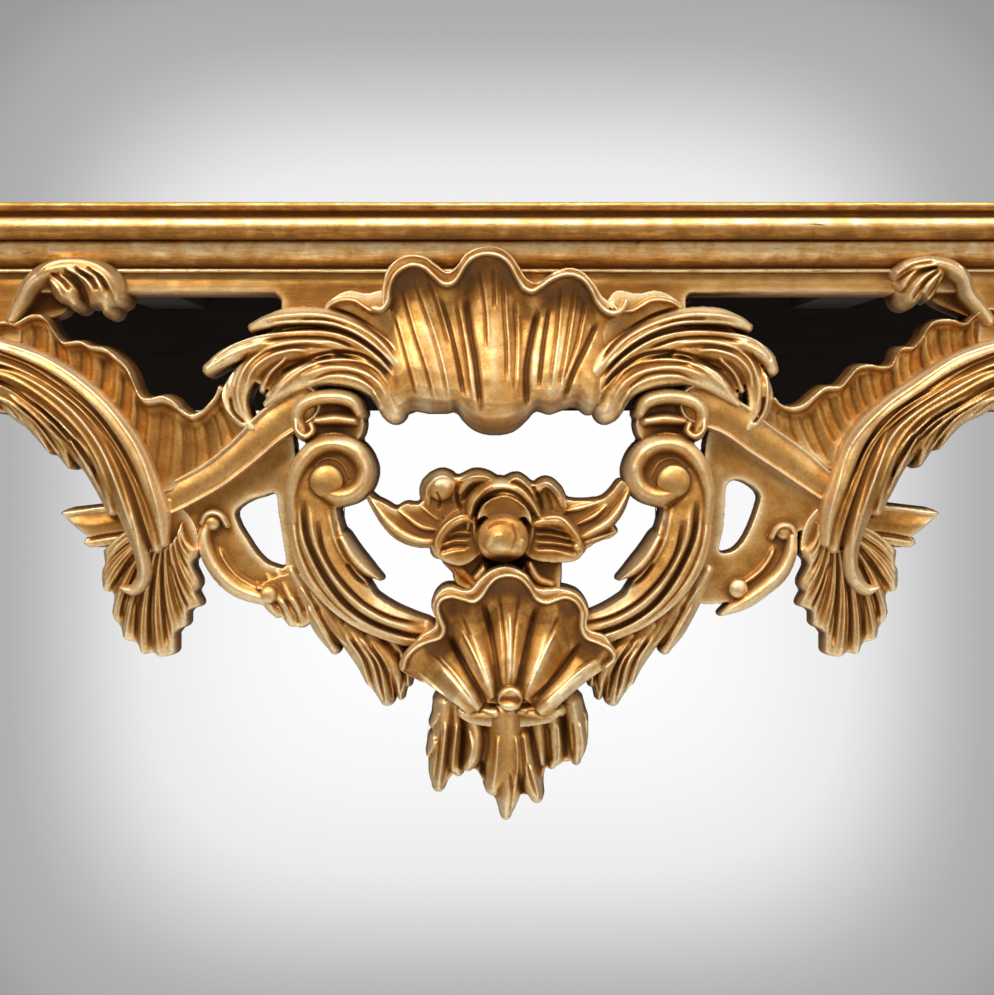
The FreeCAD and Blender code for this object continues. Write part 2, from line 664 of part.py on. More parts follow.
# Flower over the lower shell: petals as px, py, radius and share of the carving's depth
PETALS_PX = (
    (440, 498, 21, 0.78), (474, 494, 21, 0.84), (528, 494, 20, 0.84), (556, 500, 18, 0.78),
    (452, 534, 22, 0.84),
    (562, 534, 23, 0.84), (484, 558, 14, 0.86), (524, 558, 14, 0.86), (468, 580, 15, 0.6),
    (542, 580, 15, 0.6),
    (500, 540, 34, 0.7),
)
FLOWER_BALL_PX = (500, 535, 21)
FLOWER_ARCH_PX = (
    (474, 512, 8, 0.92), (484, 496, 9, 0.96), (503, 490, 9, 0.98), (522, 498, 9, 0.96), (532, 514, 7, 0.9)
)
SPRAYS_PX = (
    ((446, 540, 10, 0.76), (416, 544, 10, 0.8), (394, 534, 10, 0.8), (380, 514, 9, 0.76),
     (368, 496, 4, 0.7)),
    ((446, 506, 9, 0.74), (418, 508, 7, 0.76), (390, 507, 3, 0.68)),
    ((560, 538, 12, 0.76), (592, 542, 10, 0.8), (612, 530, 9, 0.78), (622, 512, 8, 0.76),
     (632, 496, 4, 0.7)),
)

# Lower shell and the leaves that hang from it
LOWER_SHELL_PX = (
    (474, 716, 403, 671, 0.84), (476, 712, 405, 655, 1.0), (478, 708, 413, 646, 0.84),
    (480, 704, 425, 639, 0.97),
    (482, 701, 441, 632, 0.82), (485, 699, 444, 620, 0.97), (488, 697, 439, 603, 0.84),
    (491, 695, 447, 596, 1.0),
    (494, 694, 460, 598, 0.84), (497, 693, 473, 600, 1.0), (500, 692, 484, 590, 0.84),
    (504, 691, 497, 576, 1.0),
    (508, 691, 510, 573, 0.86), (512, 692, 523, 580, 1.0), (516, 693, 533, 594, 0.84),
    (519, 694, 549, 600, 1.0),
    (522, 696, 566, 598, 0.86), (525, 698, 578, 607, 1.0), (528, 700, 579, 622, 0.84),
    (531, 702, 581, 635, 0.97),
    (534, 704, 594, 640, 0.82), (537, 708, 607, 646, 0.98), (540, 712, 611, 657, 0.84),
    (542, 716, 602, 671, 0.98),
)
SHELL_BED_PX = (
    (410, 676), (440, 650), (508, 640), (575, 650), (604, 676), (580, 706), (508, 728), (430, 712),
)
SHELL_BAND_PX = ((462, 712, 12, 0.84), (508, 716, 12, 0.92), (556, 710, 12, 0.84))
HINGE_KNOB_PX = (508, 695, 10)
PENDANT_PX = (
    ((508, 718, 22, 0.86), (508, 750, 25, 0.86), (509, 782, 22, 0.8), (508, 806, 10, 0.72),
     (507, 823, 2, 0.62)),
    ((474, 716, 13, 0.74), (476, 742, 12, 0.74), (469, 764, 9, 0.66), (463, 778, 3, 0.56)),
    ((446, 706, 17, 0.66), (444, 738, 16, 0.66), (441, 770, 13, 0.6), (438, 796, 3, 0.5)),
    ((558, 708, 20, 0.66), (562, 734, 20, 0.66), (568, 754, 14, 0.6), (573, 772, 3, 0.5)),
    ((532, 730, 14, 0.74), (540, 764, 10, 0.68), (538, 804, 3, 0.56)),
)

# Side aprons: half of the scroll, the small shell and its leaves, from the middle of the side
SIDE_SCROLL_PX = (
    (244, 440, 8, 0.7), (232, 406, 15, 0.82), (200, 378, 18, 0.88), (156, 366, 18, 0.9),
    (112, 376, 17, 0.9),
    (76, 404, 15, 0.88), (54, 438, 13, 0.84), (30, 466, 12, 0.8), (0, 476, 12, 0.78),
)
SIDE_LEAF_PX = (
    (200, 372, 206, 334, 0.8), (176, 366, 178, 330, 0.7), (150, 366, 150, 326, 0.8),
    (124, 372, 122, 326, 0.7),
    (98, 388, 92, 324, 0.8),
)
SIDE_SHELL_PX = (
    (-16, 446, -62, 420, 0.84), (-15, 441, -74, 394, 1.0), (-13, 437, -66, 366, 0.86),
    (-11, 434, -52, 352, 1.0),
    (-8, 431, -36, 356, 0.84), (-5, 429, -22, 336, 1.0), (0, 428, 0, 328, 0.86), (5, 429, 22, 336, 1.0),
    (8, 431, 36, 356, 0.84), (11, 434, 52, 352, 1.0), (13, 437, 66, 366, 0.86), (15, 441, 74, 394, 1.0),
    (16, 446, 62, 420, 0.84),
)
SIDE_BED_PX = ((-56, 420), (-40, 380), (0, 360), (40, 380), (56, 420), (24, 462), (0, 470), (-24, 462))
SIDE_DROP_PX = (
    ((0, 462, 16, 0.84), (0, 492, 17, 0.8), (0, 524, 12, 0.72), (0, 548, 2, 0.6)),
    ((22, 466, 11, 0.72), (30, 490, 9, 0.68), (32, 514, 2, 0.56)),
    ((-22, 466, 11, 0.72), (-30, 490, 9, 0.68), (-32, 514, 2, 0.56)),
)


def make_crest(pieces, holes):
    """Upper shell against the board, the crest leaves beside it and the curls on the cornice."""
    seats = [BEHIND_FRONT, pieces["front_board"], pieces["cornice_front"]]
    shell = fan(UPPER_SHELL_PX, shell_depth, SHELL_RISE_SHARES)
    shell = seated(shell, *seats, *holes["upper_shell"])
    pieces["upper_shell"] = shell
    fill = slab(CREST_FILL_PX, carving_depth * CROWN_SHARES[0][1])
    lobes = [strip(row, carving_depth, LEAF_SHARES) for row in CREST_LEAF_PX]
    leaf = together([fill, strip(CREST_RIBBON_PX, carving_depth), *lobes])
    leaf = seated(leaf, *seats, *holes["crest_leaf_left"])
    pieces["crest_leaf_left"] = seated(leaf, shell)
    pieces["crest_leaf_right"] = seated(mirrored(leaf), shell)
    lobe = button(*CURL_LOBE_PX, shell_depth * CROWN_SHARES[1][1])
    curl = strip(CURL_PX, shell_depth, CROWN_SHARES).fuse(lobe)
    pieces["curl_left"] = seated(curl, *seats, *holes["curl_left"])


def make_middle(pieces, holes):
    """Lower shell and the leaves that hang from it."""
    shell = together([
        fan(LOWER_SHELL_PX, shell_depth, SHELL_RISE_SHARES),
        slab(SHELL_BED_PX, shell_depth * CROWN_SHARES[0][1]),
        strip(SHELL_BAND_PX, carving_depth),
        button(*HINGE_KNOB_PX, shell_depth),
    ])
    pieces["lower_shell"] = seated(shell, BEHIND_FRONT, *holes["lower_shell"])
    pendant = together([strip(row, carving_depth, LEAF_SHARES) for row in PENDANT_PX])
    pieces["pendant_leaves"] = seated(
        pendant, pieces["lower_shell"], BEHIND_FRONT, *holes["pendant_leaves"]
    )


def make_scrolls(pieces, holes):
    """Inner scrolls, struts, brackets and fringes, each cut to pass behind the one before it."""
    seats = [BEHIND_FRONT, pieces["front_board"]]
    volute = together([
        strip(VOLUTE_PX, carving_depth, stations=volute_stations),
        disc(*VOLUTE_BED_PX, carving_depth * CHANNEL_SHARES[3][1]),
    ])
    scroll = together([
        slab(HOOK_BED_PX, carving_depth * CROWN_SHARES[0][1]),
        strip(HOOK_PX, carving_depth),
        disc(*HOOK_KNOB_PX, carving_depth * CROWN_SHARES[1][1]),
        volute,
        strip(INNER_BAND_PX, carving_depth, RIDGED_SHARES, stations=scroll_stations),
        strip(INNER_TIP_PX, carving_depth),
        button(*VOLUTE_EYE_PX, carving_depth),
    ])
    fringe = fan(SCROLL_LEAF_PX, carving_depth, LEAF_RISE_SHARES)
    for side, turn in (("left", lambda shape: shape), ("right", mirrored)):
        name = "inner_scroll_" + side
        inner = seated(
            turn(scroll), pieces["crest_leaf_" + side], pieces["lower_shell"], *seats, *holes[name]
        )
        pieces[name] = inner
        pieces["scroll_leaf_" + side] = seated(turn(fringe), inner, pieces["lower_shell"], BEHIND_FRONT)
    inner, crest = pieces["inner_scroll_left"], pieces["crest_leaf_left"]
    strut = together([
        strip(STRUT_PX, carving_depth, CHANNEL_SHARES), strip(STUB_PX, carving_depth),
        strip(LOWER_STUB_PX, carving_depth),
    ])
    strut = seated(strut, inner, crest, *seats, *holes["strut_left"])
    pieces["strut_left"] = strut
    bracket = together([
        slab(BRACKET_WEB_PX, carving_depth * LEAF_RISE_SHARES[-1] * CROWN_SHARES[0][1]),
        strip(BRACKET_PX, carving_depth, CHANNEL_SHARES),
        disc(*BRACKET_EYE_PX, carving_depth * CROWN_SHARES[0][1]),
        disc(*BRACKET_FOOT_PX, carving_depth * CROWN_SHARES[0][1]),
        fan(BRACKET_LEAVES_PX, carving_depth, LEAF_RISE_SHARES),
    ])
    pieces["bracket_scroll_left"] = seated(
        bracket, inner, strut, pieces["scroll_leaf_left"], BEHIND_FRONT, *holes["bracket_scroll_left"]
    )


def make_wings(pieces, holes):
    """Outer leaf halved over the strut, the leaf drop and rocaille border behind it, and the leg's ear."""
    seats = [BEHIND_FRONT, pieces["front_board"]]
    strut, bracket = pieces["strut_left"], pieces["bracket_scroll_left"]
    leaf = together([
        strip(OUTER_RIDGE_PX, carving_depth, RIDGED_SHARES, stations=scroll_stations),
        fan(OUTER_EDGE_PX, carving_depth, LEAF_RISE_SHARES),
        strip(OUTER_HOOK_PX, carving_depth, CHANNEL_SHARES),
    ])
    leaf = seated(leaf, strut, *seats, *holes["outer_leaf_left"])
    pieces["outer_leaf_left"] = leaf
    pieces["bracket_scroll_left"] = seated(bracket, leaf)
    drop = fan(LEAF_DROP_PX, carving_depth, LEAF_RISE_SHARES)
    pieces["leaf_drop_left"] = seated(
        drop, leaf, strut, pieces["bracket_scroll_left"], BEHIND_FRONT, *holes["leaf_drop_left"]
    )
    border = fan(BORDER_PX, carving_depth, BORDER_RISE_SHARES)
    border = seated(
        border, leaf, strut, pieces["crest_leaf_left"], pieces["curl_left"], *seats,
        *holes["rocaille_border_left"]
    )
    pieces["rocaille_border_left"] = border
    ear = together([
        strip(EAR_PX, carving_depth, CHANNEL_SHARES), fan(EAR_LEAF_PX, carving_depth, BORDER_RISE_SHARES)
    ])
    pieces["leg_ear_left"] = seated(
        ear, leaf, border, pieces["leg_front_left"], *seats, *holes["leg_ear_left"]
    )


def make_flower(pieces, holes):
    """Open flower with a round heart, and its sprays that reach to the scrolls."""
    petals = [disc(px, py, radius, share * carving_depth) for px, py, radius, share in PETALS_PX]
    sprays = [strip(row, carving_depth, LEAF_SHARES) for row in SPRAYS_PX]
    flower = together([
        *petals, strip(FLOWER_ARCH_PX, carving_depth), *sprays, button(*FLOWER_BALL_PX, shell_depth)
    ])
    pieces["flower"] = seated(
        flower, pieces["lower_shell"], pieces["inner_scroll_left"], pieces["inner_scroll_right"],
        BEHIND_FRONT, *holes["flower"]
    )


def make_sides(pieces, holes):
    """Side aprons: scrolls that rise to a small shell with a leaf below it."""
    half = together([
        strip(SIDE_SCROLL_PX, carving_depth, CHANNEL_SHARES, on_side, stations=scroll_stations),
        fan(SIDE_LEAF_PX, carving_depth, BORDER_RISE_SHARES, on_side),
    ])
    other = half.mirror(Vector(0, side_middle_y, 0), Vector(0, 1, 0))
    drops = [strip(row, carving_depth, LEAF_SHARES, on_side) for row in SIDE_DROP_PX]
    shell = together([
        fan(SIDE_SHELL_PX, shell_depth, SHELL_RISE_SHARES, on_side),
        slab(SIDE_BED_PX, shell_depth * CROWN_SHARES[0][1], on_side),
        *drops,
    ])
    seats = [INSIDE_LEFT, pieces["side_rail_left"]]
    shell = seated(shell, *seats, *holes["side_shell_left"])
    pieces["side_shell_left"] = shell
    near = seated(half, shell, pieces["leg_back_left"], *seats)
    far = seated(other, shell, pieces["leg_front_left"], *seats)
    pieces["side_apron_left"] = Part.makeCompound([near, far])


def screw(head, tip):
    """Countersunk wood screw from the top of its head to its tip."""
    way = (tip - head).normalize()
    cone = Part.makeCone(screw_head_radius, screw_radius, screw_head_height, head, way)
    return cone.fuse(rod(head + way * screw_head_height, tip, screw_radius))


# Screws from behind: px, py and the two pieces they join
SCREWS_PX = (
    (330, 318, "front_board", "crest_leaf_left"),
    (70, 276, "front_board", "curl_left"),
    (-12, 336, "front_board", "outer_leaf_left", "rocaille_border_left"),
    (-130, 336, "front_board", "leg_ear_left"),
)
CENTRE_SCREWS_PX = ((440, 330, "front_board", "upper_shell"), (556, 330, "front_board", "upper_shell"))
SIDE_SCREWS_PX = ((0, 336, "side_rail_left", "side_shell_left"),)
DOWELS_PX = (
    (316, 368, 316, 408, "crest_leaf_left", "inner_scroll_left"),
    (312, 424, 264, 424, "inner_scroll_left", "strut_left"),
    (392, 628, 440, 644, "inner_scroll_left", "lower_shell"),
    (316, 588, 262, 588, "inner_scroll_left", "bracket_scroll_left"),
    (157, 506, 154, 580, "strut_left", "outer_leaf_left", "leaf_drop_left"),
    (-40, 352, -92, 354, "outer_leaf_left", "leg_ear_left"),
    (-178, 400, -226, 400, "leg_ear_left", "leg_front_left"),
)
CENTRE_DOWELS_PX = (
    (508, 690, 508, 742, "lower_shell", "pendant_leaves"),
    (502, 560, 506, 618, "flower", "lower_shell"),
)
front_peg_shares = (0.35, 0.7)
back_peg_shares = (0.25, 0.75)


def fastenings():
    """Screws, dowels and pegs, with the holes that each piece needs for them."""
    holes = collections.defaultdict(list)
    groups = {"carving_screws": [], "apron_dowels": [], "rail_pegs": []}

    def add(group, body, names, both, *recesses):
        for side, turn in (("_left", lambda shape: shape), ("_right", mirrored))[:1 + both]:
            groups[group].append(turn(body))
            for name in names:
                holes[name.replace("_left", side)] += [turn(body), *[turn(recess) for recess in recesses]]

    rows = [(on_front, True, row) for row in SCREWS_PX]
    rows += [(on_front, False, row) for row in CENTRE_SCREWS_PX]
    rows += [(on_side, True, row) for row in SIDE_SCREWS_PX]
    for place, both, (px, py, *names) in rows:
        head = place(px, py, carving_screw_recess)
        tip = place(px, py, carving_screw_recess + carving_screw_length)
        recess = rod(place(px, py, -behind), head, screw_head_radius)
        add("carving_screws", screw(head, tip), names, both, recess)
    for both, table in ((True, DOWELS_PX), (False, CENTRE_DOWELS_PX)):
        for x0, y0, x1, y1, *names in table:
            dowel = rod(on_front(x0, y0, dowel_setback), on_front(x1, y1, dowel_setback), dowel_radius)
            add("apron_dowels", dowel, names, both)
    x = -post_inner_x - tenon_length / 2
    board_low = on_front(0, SPANDREL_LOW_PX, 0).z
    for share in front_peg_shares:
        start = Vector(x, post_back_y, frame_top_z - share * (frame_top_z - board_low))
        peg = rod(start, start - Vector(0, peg_length, 0), peg_radius)
        add("rail_pegs", peg, ("leg_front_left", "front_board"), True)
    for share in back_peg_shares:
        start = Vector(x, wall_y - post_side, frame_top_z - share * back_rail_height)
        peg = rod(start, start + Vector(0, peg_length, 0), peg_radius)
        add("rail_pegs", peg, ("leg_back_left", "back_rail"), True)
    return {name: Part.makeCompound(bodies) for name, bodies in groups.items()}, holes


batten_shares = (-0.5, 0.5)
batten_screw_shares = (0.15, 0.5, 0.85)
block_shares = (-0.75, -0.25, 0, 0.25, 0.75)


def make_inside(pieces):
    """Battens screwed under the top, and glue blocks in the angle of the rails and the top."""
    battens = []
    top_screws = []
    batten_low = frame_top_z - batten_thickness
    for share in batten_shares:
        x = share * frame_half_width
        battens.append(box_between(
            (x - batten_width / 2, board_back_y, batten_low),
            (x + batten_width / 2, wall_y - back_rail_thickness, frame_top_z),
        ))
        for run in batten_screw_shares:
            y = board_back_y + (wall_y - back_rail_thickness - board_back_y) * run
            top_screws.append(screw(Vector(x, y, batten_low), Vector(x, y, batten_low + top_screw_length)))
    pieces["top_battens"] = Part.makeCompound([batten.cut(top_screws) for batten in battens])
    pieces["top_panel"] = pieces["top_panel"].cut(top_screws)
    pieces["top_screws"] = Part.makeCompound(top_screws)
    blocks = []
    for share in block_shares:
        x = share * frame_half_width
        for y in (board_back_y, wall_y - back_rail_thickness - glue_block_side):
            blocks.append(box_between(
                (x - glue_block_length / 2, y, frame_top_z - glue_block_side),
                (x + glue_block_length / 2, y + glue_block_side, frame_top_z),
            ))
    inner = frame_half_width - board_thickness
    for y in (side_middle_y - glue_block_length * 2, side_middle_y + glue_block_length):
        block = box_between(
            (-inner, y, frame_top_z - glue_block_side),
            (glue_block_side - inner, y + glue_block_length, frame_top_z),
        )
        blocks += [block, mirrored(block)]
    pieces["glue_blocks"] = Part.makeCompound(blocks)


def build():
    """All pieces, each under its node's name."""
    pieces = {}
    fixings, holes = fastenings()
    make_top(pieces)
    make_frame(pieces)
    make_legs(pieces, holes)
    make_crest(pieces, holes)
    make_middle(pieces, holes)
    make_scrolls(pieces, holes)
    make_wings(pieces, holes)
    make_flower(pieces, holes)
    make_sides(pieces, holes)
    make_inside(pieces)
    for name in ("front_board", "back_rail", "side_rail_left"):
        pieces[name] = seated(pieces[name], *holes[name])
    for name in [name for name in pieces if name.endswith("_left")]:
        twin = name.replace("_left", "_right")
        if twin not in pieces:
            pieces[twin] = mirrored(pieces[name])
    pieces.update(fixings)
    return pieces


os.makedirs("parts", exist_ok=True)
for node, shape in build().items():
    shape.exportStep("parts/" + node + ".step")
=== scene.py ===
import json
import math

import bmesh
import bpy
import numpy as np
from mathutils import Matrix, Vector
from mathutils.geometry import delaunay_2d_cdt

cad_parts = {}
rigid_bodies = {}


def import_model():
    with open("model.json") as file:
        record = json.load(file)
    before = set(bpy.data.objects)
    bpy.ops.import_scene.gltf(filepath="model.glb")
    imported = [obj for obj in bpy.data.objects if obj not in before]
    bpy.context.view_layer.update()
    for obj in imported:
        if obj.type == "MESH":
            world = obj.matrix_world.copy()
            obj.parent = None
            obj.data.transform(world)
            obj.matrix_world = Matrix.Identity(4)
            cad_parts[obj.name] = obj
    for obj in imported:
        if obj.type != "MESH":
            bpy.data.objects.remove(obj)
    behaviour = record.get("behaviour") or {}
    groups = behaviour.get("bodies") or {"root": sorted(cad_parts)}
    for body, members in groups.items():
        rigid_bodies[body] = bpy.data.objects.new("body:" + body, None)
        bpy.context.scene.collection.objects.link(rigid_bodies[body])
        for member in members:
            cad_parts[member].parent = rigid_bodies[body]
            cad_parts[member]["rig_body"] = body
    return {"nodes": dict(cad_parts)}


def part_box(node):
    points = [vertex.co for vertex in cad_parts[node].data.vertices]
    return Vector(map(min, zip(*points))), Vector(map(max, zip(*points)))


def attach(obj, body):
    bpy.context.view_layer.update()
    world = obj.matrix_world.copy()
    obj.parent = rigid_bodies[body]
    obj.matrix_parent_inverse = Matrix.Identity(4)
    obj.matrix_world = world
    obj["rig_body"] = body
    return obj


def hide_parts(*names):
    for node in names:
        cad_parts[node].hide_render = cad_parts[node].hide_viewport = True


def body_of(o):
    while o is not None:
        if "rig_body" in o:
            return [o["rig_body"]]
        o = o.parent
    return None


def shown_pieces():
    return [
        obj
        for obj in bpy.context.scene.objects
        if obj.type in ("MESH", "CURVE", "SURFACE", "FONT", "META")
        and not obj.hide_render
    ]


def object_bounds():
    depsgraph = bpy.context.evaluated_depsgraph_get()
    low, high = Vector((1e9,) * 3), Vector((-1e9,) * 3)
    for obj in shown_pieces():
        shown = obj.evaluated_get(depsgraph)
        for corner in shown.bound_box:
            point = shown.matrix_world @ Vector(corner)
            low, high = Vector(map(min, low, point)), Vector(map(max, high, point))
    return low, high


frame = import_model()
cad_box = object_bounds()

# The top is a plain softwood board, stained brown and waxed. It lies on the rails inside the
# mitred gilt edge, and is screwed from below through two battens.
MM = 0.001
nodes = frame["nodes"]


def linear(hex_colour):
    """sRGB hex to a linear colour."""
    parts = [int(hex_colour[k:k + 2], 16) / 255 for k in (1, 3, 5)]
    return [p / 12.92 if p <= 0.04045 else ((p + 0.055) / 1.055) ** 2.4 for p in parts] + [1.0]


def add_node(material, kind, links=(), **settings):
    """Adds a shader node. Settings named in_X go to the input X, others to the node itself."""
    node = material.node_tree.nodes.new(kind)
    for key, value in settings.items():
        if key.startswith("in_"):
            name = key[3:].replace("_", " ")
            socket = node.inputs[int(name)] if name.isdigit() else node.inputs[name]
            socket.default_value = value
        else:
            setattr(node, key, value)
    for source, target in links:
        socket = node.inputs[target]
        material.node_tree.links.new(source, socket)
    return node


def set_ramp(node, stops):
    """Gives a Color Ramp its stops: (place, hex colour)."""
    ramp = node.color_ramp
    while len(ramp.elements) > len(stops):
        ramp.elements.remove(ramp.elements[-1])
    while len(ramp.elements) < len(stops):
        ramp.elements.new(0.5)
    for element, (place, colour) in zip(ramp.elements, stops):
        element.position = place
        element.color = linear(colour)


def new_material(name):
    """Empty material with a Principled shader and an output."""
    material = bpy.data.materials.new(name)
    material.use_nodes = True
    material.node_tree.nodes.clear()
    shader = add_node(material, "ShaderNodeBsdfPrincipled")
    add_node(material, "ShaderNodeOutputMaterial", [(shader.outputs[0], "Surface")])
    return material, shader


def link(material, source, target):
    material.node_tree.links.new(source, target)


def noise(material, where, size, detail, roughness, distortion=0.0):
    """Adds noise with patches of about a size in millimetres."""
    return add_node(
        material, "ShaderNodeTexNoise", [(where, "Vector")],
        in_Scale=1 / (size * MM), in_Detail=detail, in_Roughness=roughness, in_Distortion=distortion,
    )


# A plain-sawn board's growth rings show about 6 mm apart, and its grain is drawn out to 14 times that
RING_GAP, GRAIN_LENGTH = 6, 14


def stained_wood(name, dark, middle, light, roughness):
    """Softwood under a brown stain: long soft grain, a little darker in its pores, with a dull wax sheen."""
    material, shader = new_material(name)
    where = add_node(material, "ShaderNodeTexCoord")
    stretch = add_node(
        material, "ShaderNodeMapping", [(where.outputs["Object"], "Vector")],
        in_Scale=(1, GRAIN_LENGTH, GRAIN_LENGTH),
    )
    grain = noise(material, stretch.outputs[0], RING_GAP * GRAIN_LENGTH, 7.0, 0.62, 0.6)
    colour = add_node(material, "ShaderNodeValToRGB", [(grain.outputs[0], "Fac")])
    set_ramp(colour, ((0.3, dark), (0.52, middle), (0.72, light)))
    link(material, colour.outputs[0], shader.inputs["Base Color"])
    bump = add_node(
        material, "ShaderNodeBump", [(grain.outputs[0], "Height")], in_Strength=0.25, in_Distance=0.4 * MM
    )
    link(material, bump.outputs[0], shader.inputs["Normal"])
    shader.inputs["Roughness"].default_value = roughness
    return material


def dress(node, material):
    """A CAD node that shows as it is, in its own material."""
    piece = nodes[node]
    piece.data.materials.clear()
    piece.data.materials.append(material)


def give(piece, slot, *replaced):
    """A finished piece rides on the table and stands for its CAD nodes, which are hidden. Its slot is not
    used.
    """
    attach(piece, "root")
    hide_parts(*replaced)


top_wood = stained_wood("waxed_top_board", "#1A0D05", "#3B2110", "#5A3A1E", 0.42)
dress("top_panel", top_wood)

# The moulded edge of the top and the cornice below it are lengths of limewood moulding, covered
# with gesso and red bole and water gilded. They are mitred at the corners and pinned to the rails.
table_height = cad_box[1].z
frame_front_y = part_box("front_board")[0].y
board_back_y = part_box("front_board")[1].y
frame_half_width = -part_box("side_rail_left")[0].x
frame_top_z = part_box("front_board")[1].z
side_middle_y = (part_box("side_rail_left")[0].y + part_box("side_rail_left")[1].y) / 2
ENDS = (("left", -1), ("right", 1))


def work_out(material, operation, links, **settings):
    """Adds a Math node."""
    return add_node(material, "ShaderNodeMath", links, operation=operation, **settings)


def change_range(material, value, low, high, new_low=0.0, new_high=1.0, **settings):
    """Turns the values from low to high into new ones."""
    return add_node(
        material, "ShaderNodeMapRange", [(value, "Value")],
        in_From_Min=low, in_From_Max=high, in_To_Min=new_low, in_To_Max=new_high, **settings,
    )


def gilding(name, brush=(1, 1, 1), wear=1.0):
    """Old water gilding on red bole and gesso. Ridges are pale and rubbed, flats are deep gold, and hollows
    hold a dark brown toning, with painted shade in the hollows and down the walls and painted highlights on
    the ridges, so the carving reads as light lines on brown."""
    material, shader = new_material(name)
    shader.inputs["Specular IOR Level"].default_value = 0.25
    where = add_node(material, "ShaderNodeTexCoord")
    stretch = add_node(material, "ShaderNodeMapping", [(where.outputs["Object"], "Vector")], in_Scale=brush)
    toning_and_shade = add_node(material, "ShaderNodeAttribute", attribute_name="toning_and_shade")
    # Patches of toning about 12 mm across, and streaks of the brush about 2 mm wide
    patches = noise(material, where.outputs["Object"], 12, 5.0, 0.6, 0.4)
    streaks = noise(material, stretch.outputs[0], 1.8, 7.0, 0.68)
    mottle = work_out(
        material, "MULTIPLY_ADD", [(patches.outputs[0], 0)], in_1=0.42 * wear, in_2=-0.34 * wear
    )
    fine = work_out(
        material, "MULTIPLY_ADD", [(streaks.outputs[0], 0), (mottle.outputs[0], 2)], in_1=0.32 * wear
    )
    tone = work_out(
        material, "ADD", [(toning_and_shade.outputs["Fac"], 0), (fine.outputs[0], 1)], use_clamp=True
    )
    # The dark end of the ramp is toning and painted shade, the pale end rubbed gold and painted highlight
    colour = add_node(material, "ShaderNodeValToRGB", [(tone.outputs[0], "Fac")])
    set_ramp(colour, (
        (0.0, "#5A3A1D"), (0.12, "#6B4822"), (0.28, "#7C5227"), (0.44, "#966630"), (0.58, "#B48648"),
        (0.76, "#CFA972"), (1.0, "#EFDEBA"),
    ))
    # Bole shows as small red-brown islands where the leaf is rubbed through on the highest places
    rub = noise(material, where.outputs["Object"], 5, 8.0, 0.72)
    high = change_range(material, tone.outputs[0], 0.6, 1.0)
    rubbed = change_range(material, rub.outputs[0], 0.6, 0.68)
    bole = work_out(material, "MULTIPLY", [(high.outputs[0], 0), (rubbed.outputs[0], 1)])
    bole = work_out(material, "MULTIPLY", [(bole.outputs[0], 0)], in_1=0.55 * wear)
    paint = add_node(
        material, "ShaderNodeMix", [(bole.outputs[0], 0), (colour.outputs[0], 6)], data_type="RGBA",
        in_7=linear("#8A4A22"),
    )
    # Flecks of old toning and dirt, about 2 mm across
    fleck_noise = noise(material, stretch.outputs[0], 2.2, 4.0, 0.7, 0.8)
    flecks = change_range(material, fleck_noise.outputs[0], 0.6, 0.72, 0.0, 0.6 * wear)
    paint = add_node(
        material, "ShaderNodeMix", [(flecks.outputs[0], 0), (paint.outputs[2], 6)], data_type="RGBA",
        in_7=linear("#5A3716"),
    )
    link(material, paint.outputs[2], shader.inputs["Base Color"])
    metal = change_range(material, tone.outputs[0], 0.1, 0.5, 0.1, 0.94)
    # Bole is clay, and isn't metallic
    metal = work_out(
        material, "MULTIPLY_ADD", [(bole.outputs[0], 0), (metal.outputs[0], 2)], in_1=-0.7, use_clamp=True
    )
    link(material, metal.outputs[0], shader.inputs["Metallic"])
    dull = change_range(material, fine.outputs[0], -0.15, 0.2, 0.62, 0.4)
    link(material, dull.outputs[0], shader.inputs["Roughness"])
    bump = add_node(
        material, "ShaderNodeBump", [(streaks.outputs[0], "Height")], in_Strength=0.5, in_Distance=0.4 * MM
    )
    link(material, bump.outputs[0], shader.inputs["Normal"])
    return material


gilt_moulding = gilding("gilt_moulding", (0.14, 1, 1), 1.6)

# Rings of points along the front and the end lengths
FRONT_STEPS, END_STEPS = 240, 110
# How far the plane wandered, in millimetres
EDGE_WOBBLE, CORNICE_WOBBLE = 0.16, 0.22
# Section of each moulding as rows of distance out from the rail, height and tone, in millimetres. The tone is
# toning with painted shade in the coves and undercuts and a painted highlight on the rounds and beads.
EDGE_ROWS = (
    (-12, 0.0, 0.62), (19.0, 0.0, 0.7), (21.6, -0.6, 0.62), (22.6, -2.4, 0.55), (21.4, -4.8, 0.4),
    (18.0, -6.0, 0.2), (16.8, -7.6, 0.22), (18.6, -8.6, 0.42), (21.4, -9.6, 0.66), (23.4, -12.0, 0.8),
    (24.0, -15.0, 0.62), (23.2, -18.0, 0.46), (21.0, -20.6, 0.34), (19.0, -22.0, 0.2), (-12, -22.0, 0.3),
)
CORNICE_ROWS = (
    (0, 0.0, 0.2), (13.6, 0.0, 0.3), (14.8, -1.2, 0.56), (15.0, -3.4, 0.76), (14.4, -6.4, 0.76),
    (12.6, -9.6, 0.68), (9.4, -12.4, 0.54), (5.2, -14.6, 0.38), (2.9, -16.2, 0.2), (3.4, -16.6, 0.4),
    (5.2, -17.0, 0.9), (5.8, -18.0, 0.94), (5.2, -19.0, 0.6), (0, -19.2, 0.2),
)


def mesh_piece(name, points, faces, material, tones=None, smooth=True):
    """A finished object at the origin, with its place in its mesh and its tones as a vertex attribute."""
    mesh = bpy.data.meshes.new(name)
    mesh.from_pydata(np.asarray(points).tolist(), [], faces)
    mesh.validate()
    if tones is not None:
        layer = mesh.attributes.new("toning_and_shade", "FLOAT", "POINT")
        layer.data.foreach_set("value", np.asarray(tones, np.float32).ravel())
    mesh.shade_smooth() if smooth else mesh.shade_flat()
    mesh.materials.append(material)
    piece = bpy.data.objects.new(name, mesh)
    bpy.context.scene.collection.objects.link(piece)
    return piece


